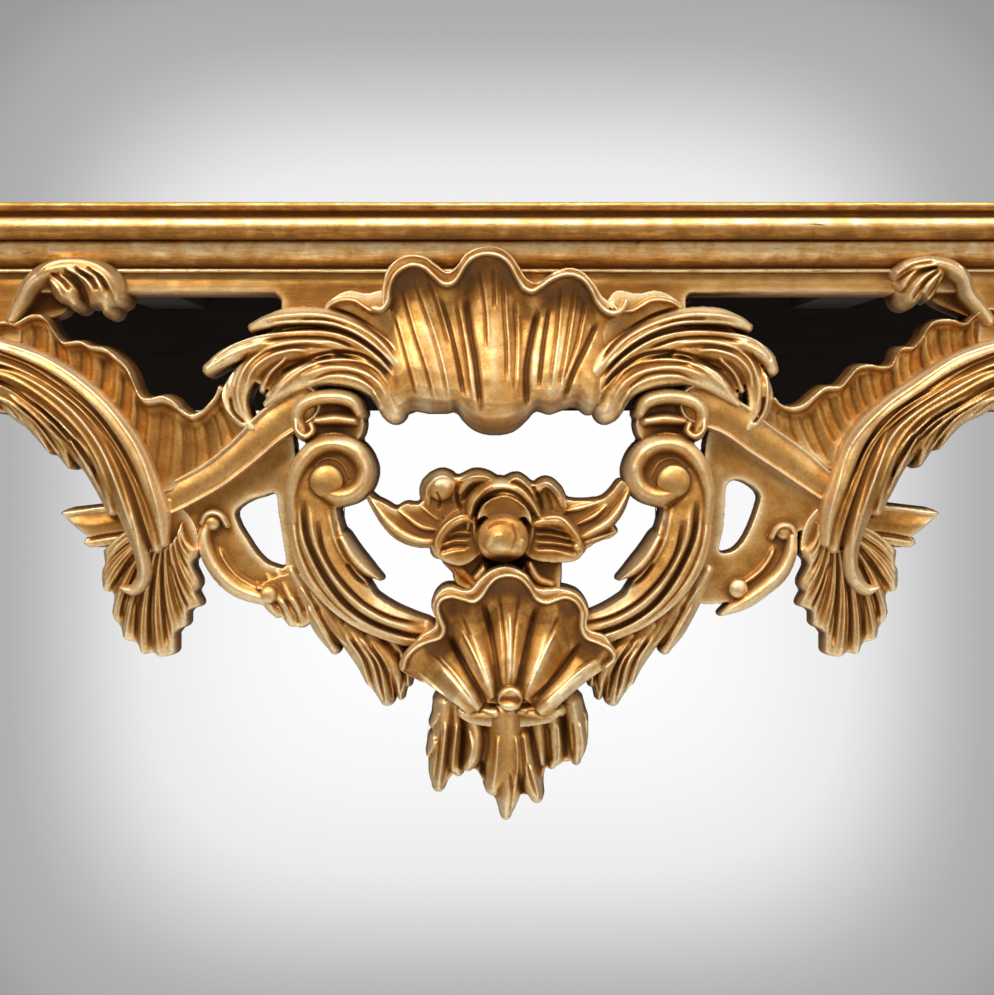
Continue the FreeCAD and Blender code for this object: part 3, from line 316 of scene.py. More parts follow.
def face_outwards(piece):
    """Recalculates the normals of a closed mesh so that all face outwards."""
    work = bmesh.new()
    work.from_mesh(piece.data)
    bmesh.ops.recalc_face_normals(work, faces=work.faces)
    work.to_mesh(piece.data)
    work.free()


def spans(rows):
    """Each stretch between two rows, as the four rows that shape its curve."""
    padded = np.vstack([2 * rows[0] - rows[1], rows, 2 * rows[-1] - rows[-2]])
    return zip(padded, padded[1:], padded[2:], padded[3:])


def curve_at(p0, p1, p2, p3, t):
    """Rows at the shares t of the way from p1 to p2, on a smooth line through all four."""
    curve = 2 * p1 + (p2 - p0) * t + (2 * p0 - 5 * p1 + 4 * p2 - p3) * t ** 2
    return 0.5 * (curve + (3 * p1 - p0 - 3 * p2 + p3) * t ** 3)


def rounded_rows(rows, count):
    """More rows between the given ones, on a smooth line."""
    rows = np.array(rows, float)
    made = [curve_at(*span, t) for span in spans(rows) for t in np.arange(count) / count]
    return np.array(made + [rows[-1]])


def loft_faces(rings, around, start=0):
    """Faces of a skin through closed rings of points, with a face on both ends."""
    last = start + (rings - 1) * around
    faces = [
        (k + j, k + (j + 1) % around, k + around + (j + 1) % around, k + around + j)
        for k in range(start, last, around) for j in range(around)
    ]
    return faces + [tuple(range(start, start + around)), tuple(range(last, last + around))]


def moulding(name, rows, z_top, side, wobble):
    """Length of moulding on the front (side 0) or on an end (side -1 or 1), with hand-planed unevenness."""
    out, height, tone = np.vstack([rows[:1], rounded_rows(rows[1:-1], 3), rows[-1:]]).T
    count = FRONT_STEPS if side == 0 else END_STEPS
    points = []
    for k in range(count + 1):
        share = k / count
        # Planing only takes wood away, and the unevenness dies out towards the mitres, where the lengths meet
        hand = wobble * MM * math.sin(math.pi * share) ** 0.5
        if side == 0:
            x = (2 * share - 1) * (frame_half_width + out * MM)
            wave = np.sin(x * 23 + 1.3) + 0.6 * np.sin(x * 57 + 0.4) + 0.4 * np.sin(x * 131)
            y = frame_front_y - out * MM + hand * (wave + 2) * (out > 0)
            z = z_top + height * MM + 0.5 * hand * (np.sin(x * 31 + height) - 1)
        else:
            mitre_y = frame_front_y - out * MM
            y = mitre_y + (cad_box[1].y - mitre_y) * share
            wave = np.sin(y * 29 + 0.7) + 0.6 * np.sin(y * 71)
            x = side * (frame_half_width + out * MM + hand * (wave - 1.6) * (out > 0))
            z = z_top + height * MM + 0.5 * hand * (np.sin(y * 37 + height) - 1)
        points.append(np.stack([x, y, z], -1))
    faces = loft_faces(count + 1, len(out))
    piece = mesh_piece(name, np.concatenate(points), faces, gilt_moulding, np.tile(tone, count + 1))
    face_outwards(piece)
    return piece


for label, node, rows, z_top, wobble in (
    ("edge", "top_edge", EDGE_ROWS, table_height, EDGE_WOBBLE),
    ("cornice", "cornice", CORNICE_ROWS, frame_top_z, CORNICE_WOBBLE),
):
    for end, side in (("front", 0), *ENDS):
        piece = moulding("gilt_" + label + "_" + end, rows, z_top, side, wobble)
        give(piece, "gilt_moulding", node + "_" + end)

# Front board and side rails are pine, tenoned into the legs. Their faces are gilded, and the front board
# is cut out over the carving. The back rail and battens are roughly stained and made near black as painted
# shade for the dark inside of the frame; the glue blocks stay bare or roughly stained.
gilt_board = gilding("gilt_board", (0.1, 1, 1), 0.9)
# Near black: a brown stain darkened into painted shade for the inside of the frame
stained_pine_and_shade = stained_wood("old_pine_inside", "#090402", "#140B05", "#1F1209", 0.85)
pale_wood = stained_wood("pine_blocks", "#2B1A0C", "#4C3119", "#6B4A2A", 0.7)
quick_share = 1
# A pixel of the photograph in millimetres, and the column and row of the table's middle and top
PX = 0.6
PHOTO_MIDDLE, PHOTO_TOP = 500, 204
# How far the carving stands forward of the board's back, and the height of what isn't wood, in millimetres
CARVING_DEPTH = 46.0
GROUND = -1000.0
# The eight neighbours of a cell
ROUND_ABOUT = ((0, 1), (0, -1), (1, 0), (-1, 0), (1, 1), (1, -1), (-1, 1), (-1, -1))


def smooth_step(low, high, value):
    """0 below low, 1 above high, and a soft change between."""
    share = np.clip((value - low) / (high - low), 0, 1)
    return share * share * (3 - 2 * share)


def on_front(px, py, height):
    """Points of the front carving, from photograph pixels and millimetres forward of the board's back."""
    x = (px - PHOTO_MIDDLE) * PX * MM
    z = table_height - (py - PHOTO_TOP) * PX * MM
    return np.stack([x, board_back_y - height * MM, z], -1)


def on_front_right(px, py, height):
    """The same for a piece drawn on the left and carved in reverse for the right."""
    return on_front(2 * PHOTO_MIDDLE - px, py, height)


def smooth_line(rows, spacing=1.2):
    """Evenly close rows on a smooth line through the given ones. The first columns are pixels."""
    rows = np.array(rows, float)
    made = []
    for span in spans(rows):
        step = span[2] - span[1]
        # The ribs of a fan have two ends, and the wider gap counts
        gap = np.hypot(*step[:2]) if len(step) < 5 else max(np.hypot(*step[:2]), np.hypot(*step[2:4]))
        count = max(2, int(gap / spacing))
        made.append(curve_at(*span, (np.arange(count) / count)[:, None]))
    return np.vstack(made + [rows[-1:]])


def rows_along(line, *more):
    """Rows of px, py and more from a line of x, y, x, y."""
    return [(x, y, *more) for x, y in zip(line[::2], line[1::2])]


def crowned(edge=0.6):
    """Section of a rounded band: 1 in the middle and the given share at its edges."""
    return lambda s: 1 - (1 - edge) * s ** 2


def ridged(grooves, groove=0.14, edge=0.7):
    """Section of a band with so many grooves between its ridges."""
    return lambda s: (1 - (1 - edge) * s ** 2) * (
        1 - groove * (0.5 - 0.5 * np.cos(math.pi * grooves * (s + 1))) ** 1.3
    )


class Carving:
    """A carved piece as heights in millimetres over a fine grid of photograph pixels. The window is its left,
    top, right and bottom, and the step is the width of a cell."""

    def __init__(self, window, step=0.85):
        left, top, right, bottom = window
        margin = 16
        self.step = step * quick_share
        self.xs = np.arange(left - margin, right + margin, self.step)
        self.ys = np.arange(top - margin, bottom + margin, self.step)
        self.height = np.full((len(self.ys), len(self.xs)), GROUND)
        self.painted_light_and_shade = np.zeros(self.height.shape)

    def window(self, xs, ys, reach):
        """Part of the grid round some points."""
        i0, i1 = np.searchsorted(self.xs, (np.min(xs) - reach, np.max(xs) + reach))
        j0, j1 = np.searchsorted(self.ys, (np.min(ys) - reach, np.max(ys) + reach))
        gx, gy = np.meshgrid(self.xs[i0:i1], self.ys[j0:j1])
        return (slice(j0, j1), slice(i0, i1)), gx, gy

    def follow(self, rows, reach):
        """For the grid near a line: each cell's row on the line, and its distance across it in pixels."""
        line = smooth_line(rows)
        part, gx, gy = self.window(line[:, 0], line[:, 1], reach)
        tangent = np.gradient(line[:, :2], axis=0)
        tangent /= np.linalg.norm(tangent, axis=1)[:, None] + 1e-9
        best = np.full(gx.shape, 1e9)
        nearest = np.zeros(gx.shape, int)
        for k, (cx, cy) in enumerate(line[:, :2]):
            distance = (gx - cx) ** 2 + (gy - cy) ** 2
            closer = distance < best
            best[closer] = distance[closer]
            nearest[closer] = k
        dx, dy = gx - line[nearest, 0], gy - line[nearest, 1]
        across = tangent[nearest, 0] * dy - tangent[nearest, 1] * dx
        ends = (nearest == 0) | (nearest == len(line) - 1)
        across = np.where(ends, np.copysign(np.hypot(dx, dy), across), across)
        return part, line, nearest, across

    def stroke(self, rows, section=crowned(), depth=CARVING_DEPTH):
        """Raises a band: rows of px, py, half width in pixels and share of the depth."""
        rows = np.array(rows, float)
        part, line, nearest, across = self.follow(rows, rows[:, 2].max() + 2)
        half = np.maximum(line[nearest, 2], 0.8)
        share = across / half
        made = np.where(np.abs(share) <= 1, depth * line[nearest, 3] * section(np.clip(share, -1, 1)), GROUND)
        self.height[part] = np.maximum(self.height[part], made)

    def fading(self, line, half, ends):
        """For the grid near a line: its part, and a soft ridge of height 1 that fades out at both ends."""
        part, rows, nearest, across = self.follow(line, 3 * half)
        share = nearest / (len(rows) - 1)
        fade = np.clip(np.minimum(share, 1 - share) * ends, 0, 1)
        return part, fade * np.exp(-(across / half) ** 2)

    def tool(self, table):
        """Works fine lines: rows of half width in pixels, depth in millimetres, and lines of x, y, x, y.
        A depth above 0 is a groove, and one below 0 a raised ridge."""
        for half, depth, *lines in table:
            for line in lines:
                part, ridge = self.fading(rows_along(line), half, 8)
                height = self.height[part]
                self.height[part] = np.where(height > 0, height - depth * ridge, height)

    def paint_light_and_shade(self, table):
        """Paints light and shade along lines: painted shade where the amount is below 0, painted highlight
        above 0.
        """
        for half, amount, *lines in table:
            for line in lines:
                part, ridge = self.fading(rows_along(line), half, 6)
                self.painted_light_and_shade[part] += amount * ridge

    def fan(self, ribs, rise, depth=CARVING_DEPTH, bow=0.0, lines=0, line_depth=1.0, sunk=False):
        """Raises a fan: ribs as rows of root px, root py, lip px, lip py and share of the depth. Rise gives
        the height from root to lip as rows of place and share, and bow bends the ribs sideways. A sunk fan
        takes the place of what is there, though it is lower."""
        spread = smooth_line(ribs, 0.5 * self.step)
        length = np.hypot(spread[:, 2] - spread[:, 0], spread[:, 3] - spread[:, 1])
        t = np.linspace(0, 1, int(length.max() / (0.5 * self.step)) + 4)[None, :]
        places, shares = np.array(rise, float).T
        fine_t = np.linspace(0, 1, 200)
        soft = np.interp(fine_t, places, shares)
        for _ in range(3):
            soft[1:-1] = (soft[:-2] + soft[1:-1] + soft[2:]) / 3
        x0, y0, x1, y1, crest = (column[:, None] for column in spread.T)
        bend = bow * np.sin(math.pi * t)
        px = x0 + (x1 - x0) * t - (y1 - y0) / length[:, None] * bend
        py = y0 + (y1 - y0) * t + (x1 - x0) / length[:, None] * bend
        height = depth * crest * np.interp(t, fine_t, soft)
        if lines:
            phase = np.linspace(0, len(ribs) - 1, len(spread))[:, None] * lines
            fine_lines = (0.5 + 0.5 * np.cos(2 * math.pi * phase)) ** 2
            height = height - line_depth * fine_lines * np.sin(math.pi * t)
        rows_n, columns_n = self.height.shape
        fx, fy = (px - self.xs[0]) / self.step, (py - self.ys[0]) / self.step
        ix, iy = np.floor(fx).astype(int), np.floor(fy).astype(int)
        total, value = np.zeros(rows_n * columns_n), np.zeros(rows_n * columns_n)
        for a in (0, 1):
            for b in (0, 1):
                weight = (fx - ix if a else 1 - fx + ix) * (fy - iy if b else 1 - fy + iy)
                index = np.clip(iy + b, 0, rows_n - 1) * columns_n + np.clip(ix + a, 0, columns_n - 1)
                total += np.bincount(index.ravel(), weight.ravel(), rows_n * columns_n)
                value += np.bincount(index.ravel(), (weight * height).ravel(), rows_n * columns_n)
        inside = total > 0.35
        made = np.where(inside, value / np.maximum(total, 1e-9), GROUND).reshape(rows_n, columns_n)
        self.height = np.where(made > 0, made, self.height) if sunk else np.maximum(self.height, made)

    def ball(self, px, py, radius, top, flatness=1.0):
        """Raises a dome that reaches the height top."""
        part, gx, gy = self.window([px], [py], radius + 1)
        rho = np.hypot(gx - px, gy - py) / radius
        fall = 1 - np.sqrt(np.clip(1 - rho ** 2, 0, 1))
        made = np.where(rho <= 1, top - radius * PX * flatness * fall, GROUND)
        self.height[part] = np.maximum(self.height[part], made)

    def cells_inside(self, outline, smooth):
        """Part of the grid round an outline, and which of its cells lie inside."""
        edge = np.array(outline, float)
        if smooth:
            outline = list(outline)
            edge = smooth_line(outline[-3:] + outline + outline[:3], 3.0)
            start = np.argmin(np.hypot(*(edge - outline[0]).T))
            stop = len(edge) - 1 - np.argmin(np.hypot(*(edge[::-1] - outline[0]).T))
            edge = edge[start:stop]
        part, gx, gy = self.window(edge[:, 0], edge[:, 1], 1)
        inside = np.zeros(gx.shape, bool)
        for (ax, ay), (bx, by) in zip(edge, np.roll(edge, -1, axis=0)):
            if ay != by:
                level = (gy >= min(ay, by)) & (gy < max(ay, by))
                inside ^= level & (gx < ax + (gy - ay) * (bx - ax) / (by - ay))
        return part, inside

    def field(self, outline, top, smooth=True):
        """Raises a flat field."""
        part, inside = self.cells_inside(outline, smooth)
        self.height[part] = np.maximum(self.height[part], np.where(inside, top, GROUND))

    def clear(self, outline, smooth=True):
        """Cuts an opening right through."""
        part, inside = self.cells_inside(outline, smooth)
        self.height[part] = np.where(inside, GROUND, self.height[part])

    def settle(self, draft):
        """Gives the outline sloping walls down to the back, and softens all edges as gesso does."""
        fall = draft * self.step * PX
        height = np.maximum(self.height, -3 * fall)
        for _ in range(int(height.max() / fall) + 4):
            grown = height.copy()
            for a, b in ROUND_ABOUT:
                moved = np.roll(height, (a, b), (0, 1)) - fall * math.hypot(a, b)
                grown = np.maximum(grown, moved)
            height = np.maximum(grown, -3 * fall)
        for axis in (0, 1):
            height = 0.25 * np.roll(height, 1, axis) + 0.5 * height + 0.25 * np.roll(height, -1, axis)
        self.height = height

    def carve_by_hand(self, unevenness=0.13):
        """The slow unevenness that gouge and gesso leave, in millimetres."""
        noise = np.random.default_rng(11).standard_normal(self.height.shape)
        for pixels, share in ((9.0, 1.0), (3.6, 0.6)):
            soft = blurred(noise, pixels / self.step)
            self.height = self.height + (self.height > 0) * unevenness * share * soft / soft.std()

    def tones(self, toning):
        """Painted shade and highlight with the toning: 0 in deep hollows and down the walls, about 0.5 on
        flats, 1 on ridges.
        """
        floor = np.clip(self.height, 0, None)
        tone = np.full(floor.shape, 0.5 + toning)
        for pixels, share, scale in ((1.6, 0.12, 0.6), (4.0, 0.16, 2.0), (10.0, 0.16, 6.0)):
            tone += share * np.clip((floor - blurred(floor, pixels / self.step)) / scale, -1.6, 1.0)
        level = floor.max()
        # Painted shade on what lies low towards the back and on the steep walls
        tone -= 0.22 * (1 - smooth_step(0.2 * level, 0.75 * level, floor))
        slope_y, slope_x = np.gradient(floor, self.step * PX)
        tone -= 0.14 * smooth_step(2.2, 6.0, np.hypot(slope_x, slope_y))
        return np.clip(tone, 0, 1)

    def finish(self, name, node, place=on_front, toning=0.0, slot="gilt_carving", material=None, draft=24.0):
        """Turns the relief into a closed mesh: skin, sloping walls and a flat back."""
        self.carve_by_hand()
        self.settle(draft)
        # Painted shade and highlights, from the relief and from the painted lines, with the toning
        shade = np.clip(self.tones(toning) + self.painted_light_and_shade, 0, 1)
        height = self.height
        solid = height > 0
        quads = solid[:-1, :-1] | solid[1:, :-1] | solid[:-1, 1:] | solid[1:, 1:]
        used = np.zeros(height.shape, bool)
        for a in (slice(None, -1), slice(1, None)):
            for b in (slice(None, -1), slice(1, None)):
                used[a, b] |= quads
        px, py = np.meshgrid(self.xs, self.ys)
        moved_x, moved_y, count = np.zeros(height.shape), np.zeros(height.shape), np.zeros(height.shape)
        for a, b in ROUND_ABOUT:
            near = np.roll(height, (a, b), (0, 1))
            meets = (near > 0) & ~solid
            share = np.where(meets, -height / np.where(meets, near - height, 1), 0)
            moved_x += np.where(meets, -b * self.step * share, 0)
            moved_y += np.where(meets, -a * self.step * share, 0)
            count += meets
        rim = used & ~solid
        px = px + np.where(rim, moved_x / np.maximum(count, 1), 0)
        py = py + np.where(rim, moved_y / np.maximum(count, 1), 0)
        index = np.full(height.shape, -1)
        index[used] = np.arange(used.sum())
        j, i = np.nonzero(quads)
        faces = np.stack([index[j, i], index[j + 1, i], index[j + 1, i + 1], index[j, i + 1]], -1)
        points = place(px[used], py[used], np.where(solid, height, 0)[used])
        faces = faces.tolist()
        spots = np.stack([px[used], py[used]], -1)

        def inside(spot):
            """Whether a pixel lies on the piece and not in an opening."""
            column = min(max(int((spot.x - self.xs[0]) / self.step), 0), quads.shape[1] - 1)
            row = min(max(int((spot.y - self.ys[0]) / self.step), 0), quads.shape[0] - 1)
            return quads[row, column]

        faces += close_back(points, faces, spots, inside)
        piece = mesh_piece(name, points, faces, material or gilt_carving, shade[used])
        face_outwards(piece)
        give(piece, slot, node)


def blurred(grid, sigma):
    """Soft copy of a grid, by a Gaussian in frequency space."""
    rows_n, columns_n = grid.shape
    pad = int(3 * sigma) + 1
    wide = np.pad(grid, pad, mode="edge")
    fy = np.fft.fftfreq(wide.shape[0])[:, None]
    fx = np.fft.rfftfreq(wide.shape[1])[None, :]
    gaussian = np.exp(-2 * (math.pi * sigma) ** 2 * (fx ** 2 + fy ** 2))
    soft = np.fft.irfft2(np.fft.rfft2(wide) * gaussian, wide.shape)
    return soft[pad:pad + rows_n, pad:pad + columns_n]


def close_back(points, faces, spots, inside):
    """Faces for the flat back: the rim triangulated, less the triangles that lie in openings."""
    edges = {}
    for face in faces:
        for a, b in zip(face, face[1:] + face[:1]):
            if edges.pop((b, a), None) is None:
                edges[(a, b)] = True
    rim = sorted({corner for edge in edges for corner in edge})
    place = {corner: k for k, corner in enumerate(rim)}
    flat = [Vector(spots[corner]) for corner in rim]
    made = delaunay_2d_cdt(flat, [(place[a], place[b]) for a, b in edges], [], 1, 1e-6, True)
    back = []
    for triangle in made[2]:
        corners = [made[3][k][0] if made[3][k] else None for k in triangle]
        if None in corners or len(set(corners)) < 3:
            continue
        middle = sum((flat[k] for k in corners), Vector((0, 0))) / 3
        if inside(middle):
            back.append(tuple(rim[k] for k in corners))
    return back


def copy_with_tone(node, name, material, rule):
    """A copy of a CAD node's mesh, merged, with tones worked out by a rule from its points."""
    mesh = nodes[node].data.copy()
    work = bmesh.new()
    work.from_mesh(mesh)
    bmesh.ops.remove_doubles(work, verts=work.verts, dist=0.01 * MM)
    long_edge = 14 * MM
    for _ in range(4):
        long_edges = [edge for edge in work.edges if edge.calc_length() > long_edge]
        if not long_edges:
            break
        bmesh.ops.subdivide_edges(work, edges=long_edges, cuts=1)
    bmesh.ops.triangulate(work, faces=work.faces)
    work.to_mesh(mesh)
    work.free()
    mesh.shade_flat()
    mesh.materials.clear()
    mesh.materials.append(material)
    co = np.zeros(len(mesh.vertices) * 3)
    mesh.vertices.foreach_get("co", co)
    layer = mesh.attributes.new("toning_and_shade", "FLOAT", "POINT")
    layer.data.foreach_set("value", rule(co.reshape(-1, 3)).astype(np.float32))
    piece = bpy.data.objects.new(name, mesh)
    bpy.context.scene.collection.objects.link(piece)
    return piece


# The board in pixels: left, right, top and lower edge, and the lower edge between the openings
BOARD_LEFT, BOARD_RIGHT, BOARD_TOP, BOARD_LOW, TONGUE_LOW = -206, 1206, 241, 345, 352
BOARD_THICK, BOARD_DRAFT = 30.0, 30.0
BOARD_OPENINGS = ((22, 278), (688, 978))
# The openings have small cut corners, and are cut past the board's lower edge
OPENING_TOP, OPENING_CORNER, OPENING_FOOT = 294, 5, 400
# Row of the fine scraped line under the cornice
BEAD_LINE = 278
BOARD_OUTLINE = (
    (BOARD_LEFT, BOARD_TOP), (BOARD_RIGHT, BOARD_TOP), (BOARD_RIGHT, BOARD_LOW),
    (BOARD_OPENINGS[1][1], BOARD_LOW), (BOARD_OPENINGS[1][0], TONGUE_LOW), (BOARD_OPENINGS[0][1], TONGUE_LOW),
    (BOARD_OPENINGS[0][0], BOARD_LOW), (BOARD_LEFT, BOARD_LOW),
)
BOARD_TOOLING = ((3.2, 0.6, (-200, BEAD_LINE, 300, BEAD_LINE, 700, BEAD_LINE, 1200, BEAD_LINE)),)
# Painted light along the scraped line under the cornice, which lifts the painted shade of that recess
BOARD_PAINTED_LIGHT = ((4, 0.2, (-400, BEAD_LINE, 500, BEAD_LINE, 1400, BEAD_LINE)),)
board = Carving((BOARD_LEFT, BOARD_TOP, BOARD_RIGHT, TONGUE_LOW), 1.7)
board.field(BOARD_OUTLINE, BOARD_THICK, False)
for start, end in BOARD_OPENINGS:
    board.clear((
        (start, OPENING_FOOT), (start, OPENING_TOP + OPENING_CORNER), (start + OPENING_CORNER, OPENING_TOP),
        (end - OPENING_CORNER, OPENING_TOP), (end, OPENING_TOP + OPENING_CORNER), (end, OPENING_FOOT),
    ), False)
board.tool(BOARD_TOOLING)
board.paint_light_and_shade(BOARD_PAINTED_LIGHT)
board.finish("gilt_front_board", "front_board", on_front, -0.08, "gilt_board", gilt_board, BOARD_DRAFT)


def rail_tone(side):
    """Rule for the tones of a side rail: gold on its outer face, brown on the others."""
    outer = frame_half_width - 0.5 * MM
    return lambda points: np.where(points[:, 0] * side > outer, 0.5, 0.12)


for end, side in ENDS:
    rail = copy_with_tone("side_rail_" + end, "gilt_side_rail_" + end, gilt_board, rail_tone(side))
    give(rail, "gilt_board", "side_rail_" + end)
# The back rail and battens wear the near-black wood: painted shade for the inside of the frame
dress("back_rail", stained_pine_and_shade)
dress("top_battens", stained_pine_and_shade)
dress("glue_blocks", pale_wood)
dress("apron_dowels", pale_wood)

# Four cabriole legs of limewood, cut from thick billets. They swell at the knee, taper to the ankle and
# stand on scrolled toes. The front pair has carved leaves on its two outer faces.
gilt_leg = gilding("gilt_leg", (1, 1, 0.2), 1.0)
LEG_HEIGHTS = (0.0, 8.0, 30.0, 62.0, 110.0, 190.0, 330.0, 480.0, 600.0, 690.0, 748.0, 790.0, 858.0)
LEG_REACHES = (4.0, 9.0, 12.0, 0.0, -17.0, -22.0, -15.0, -2.0, 10.0, 16.0, 8.0, 0.0, 0.0)
LEG_SIDES = (44.0, 50.0, 50.0, 34.0, 25.0, 25.0, 32.0, 42.0, 53.0, 62.0, 58.0, 52.0, 52.0)
# How far the knee's leaf spreads over the face at each height, as a share of half the face
KNEE_LEAF_HEIGHTS = (430, 520, 600, 660, 700, 760, 800)
KNEE_LEAF_SPREADS = (0, 0.34, 0.62, 0.9, 0.98, 0.86, 0.5)
# The roll of the toe: rows of place along it and radius
TOE_ROWS = (
    (-20, 4.0), (-17.5, 4.8), (-18.5, 8.0), (-20.5, 10.6), (-18.5, 12.6), (-12, 13.0), (0, 12.2),
    (12, 13.0), (18.5, 12.6), (20.5, 10.6), (18.5, 8.0), (17.5, 4.8), (20, 4.0),
)
TOE_RADIUS, TOE_HEIGHT, TOE_REACH = 13.0, 30.0, 12


def knee_leaf(across, height):
    """Relief of the knee's leaf, in millimetres: lobes with veins, widest below the rail."""
    outline = 0.92 * np.interp(height, KNEE_LEAF_HEIGHTS, KNEE_LEAF_SPREADS)
    notch = 0.1 * np.abs(np.sin(height * math.pi / 34))
    inside = smooth_step(0.0, 0.12, outline - notch - np.abs(across))
    veins = 0.5 + 0.5 * np.cos(np.abs(across) * 26 - height * 0.12)
    rib = np.exp(-(across / 0.09) ** 2)
    return inside * (2.2 + 1.3 * veins + 1.6 * rib)


def leg_mesh(name, side, front):
    """One leg as a lofted skin: rounded squares at each height, with the knee's leaf raised on it."""
    levels = 230 // quick_share
    around = 120 // quick_share
    z = np.linspace(0, LEG_HEIGHTS[-1], levels)
    soft = rounded_rows(np.stack([LEG_HEIGHTS, LEG_REACHES, LEG_SIDES], -1), 12)
    reach, width = np.interp(z, soft[:, 0], soft[:, 1]), np.interp(z, soft[:, 0], soft[:, 2])
    turn = np.linspace(0, 2 * math.pi, around, endpoint=False)
    c, s = np.cos(turn), np.sin(turn)
    round_power = np.interp(z, (0, 60, 700, 800, 858), (4, 3.4, 4.2, 9, 14))[:, None]
    radius = (np.abs(c) ** round_power + np.abs(s) ** round_power) ** (-1 / round_power)
    x, y = radius * c, radius * s
    zz = z[:, None] + 0 * x
    relief = np.zeros_like(x)
    if front:
        for out, along in ((-x, y), (-y, x)):
            relief = np.maximum(relief, knee_leaf(along, zz) * smooth_step(0.6, 0.9, out))
    leaf = relief.copy()
    if front:
        # An edge bead follows the outer corner of the leg from the knee to the toe
        corner = smooth_step(0.93, 1.0, np.maximum(-x, 0) * np.maximum(-y, 0))
        relief += 1.0 * corner * smooth_step(40, 90, zz) * (1 - smooth_step(560, 640, zz))
    half = width[:, None] / 2 + relief
    middle_x = -frame_half_width / MM - reach[:, None] + width[:, None] / 2
    if front:
        middle_y = frame_front_y / MM - reach[:, None] + width[:, None] / 2
    else:
        middle_y = cad_box[1].y / MM - width[:, None] / 2
        half = np.where(y > 0, width[:, None] / 2, half)
    points = np.stack([(middle_x + x * half) * -side, middle_y + y * half, zz], -1).reshape(-1, 3) * MM
    # Paler on the outer corners; painted highlight and shade on the knee's leaf by the height of its relief;
    # darker on the inner faces and in the lowest 14 mm
    edge_tone = 0.52 + 0.25 * smooth_step(0.78, 0.95, np.abs(x * y)) + 0.14 * (leaf - 2.7) * (leaf > 0.2)
    inner = smooth_step(0.2, 0.9, np.maximum(x, y))
    tones = np.clip(edge_tone - 0.22 * inner - 0.25 * (1 - smooth_step(0, 14, zz)), 0.1, 1)
    faces = loft_faces(levels, around)
    tones = tones.ravel()
    if front:
        points, faces, tones = add_toe(points, faces, tones, side)
    piece = mesh_piece(name, points, faces, gilt_leg, tones)
    face_outwards(piece)
    return piece


def add_toe(points, faces, tones, side):
    """The toe's scroll: a roll across the outer corner, with a spiral ridge on both ends."""
    turns = 40
    inset = TOE_RADIUS - TOE_REACH
    middle = Vector((-frame_half_width / MM + inset, frame_front_y / MM + inset, TOE_HEIGHT))
    along = Vector((1, -1, 0)).normalized()
    outward = Vector((-1, -1, 0)).normalized()
    up = Vector((0, 0, 1))
    start = len(points)
    made = []
    for offset, r in TOE_ROWS:
        for k in range(turns):
            angle = 2 * math.pi * k / turns
            spot = middle + along * offset + outward * (r * math.cos(angle)) + up * (r * math.sin(angle))
            made.append((spot.x * -side * MM, spot.y * MM, spot.z * MM))
    new_faces = loft_faces(len(TOE_ROWS), turns, start)
    # The ridges of the spiral are paler: rubbed gold with a painted highlight
    shades = [0.62 if r > 12.5 or r < 4.5 else 0.4 for offset, r in TOE_ROWS for k in range(turns)]
    return np.vstack([points, made]), faces + new_faces, np.concatenate([tones, shades])


for end, side in ENDS:
    for row, front in (("front", True), ("back", False)):
        leg = leg_mesh("gilt_leg_" + row + "_" + end, side, front)
        give(leg, "gilt_leg", "leg_" + row + "_" + end)

# The upper shell is the crest of the apron, carved from one limewood block glued and screwed to the front
# board. It was coated with gesso, recut with fine gouges, and gilded; the hollows under its lip are darkened
# with painted shade for the lip's shadow.
gilt_carving = gilding("gilt_carving")
# Lips of the shells, and their hollows, in millimetres forward of the board's back
SHELL_DEPTH, SHELL_FACE = 51.0, 50.4
SHELL_RISE = (
    (0, 0.42), (0.04, 0.7), (0.09, 0.88), (0.16, 0.97), (0.3, 0.96), (0.42, 0.91), (0.55, 0.85), (0.67, 0.79),
    (0.76, 0.77), (0.86, 0.79), (0.95, 0.86), (1, 0.9),
)
UPPER_SHELL = (
    (382, 410, 385, 304, 0.76), (398, 418, 394, 280, 0.92), (412, 410, 407, 268, 0.95),
    (428, 412, 424, 268, 0.98), (446, 412, 440, 284, 0.95), (456, 411, 452, 286, 0.92),
    (465, 422, 463, 272, 0.9), (478, 431, 476, 259, 0.97), (495, 434, 489, 256, 1.0),
    (512, 431, 504, 262, 0.97), (525, 421, 519, 284, 0.9), (536, 410, 534, 292, 0.95),
    (550, 413, 550, 281, 0.97), (562, 409, 568, 276, 0.97), (576, 406, 586, 284, 0.92),
    (590, 414, 599, 306, 0.92), (606, 404, 618, 312, 0.76),
)
SHELL_LIP = (
    374, 309, 382, 310, 388, 303, 390, 290, 395, 277, 404, 269, 414, 266, 425, 269, 434, 277, 442, 284, 450,
    285, 457, 280, 463, 270, 470, 261, 480, 256, 490, 255, 501, 258, 510, 266, 517, 279, 524, 289, 532, 292,
    540, 288, 550, 281, 562, 276, 573, 276, 583, 281, 590, 290, 596, 302, 604, 311, 613, 314, 621, 310, 625,
    302,
)
SHELL_BEVEL = (
    (382, 292), (386, 272), (394, 262), (402, 257), (413, 254), (425, 256), (436, 264), (448, 272),
    (457, 266), (463, 257), (470, 251), (480, 247), (492, 246), (503, 249), (512, 256), (520, 268),
    (526, 278), (535, 283), (545, 278), (556, 271), (570, 268), (583, 272), (594, 283), (602, 296),
    (614, 310), (600, 340), (500, 360), (400, 340), (384, 310),
)
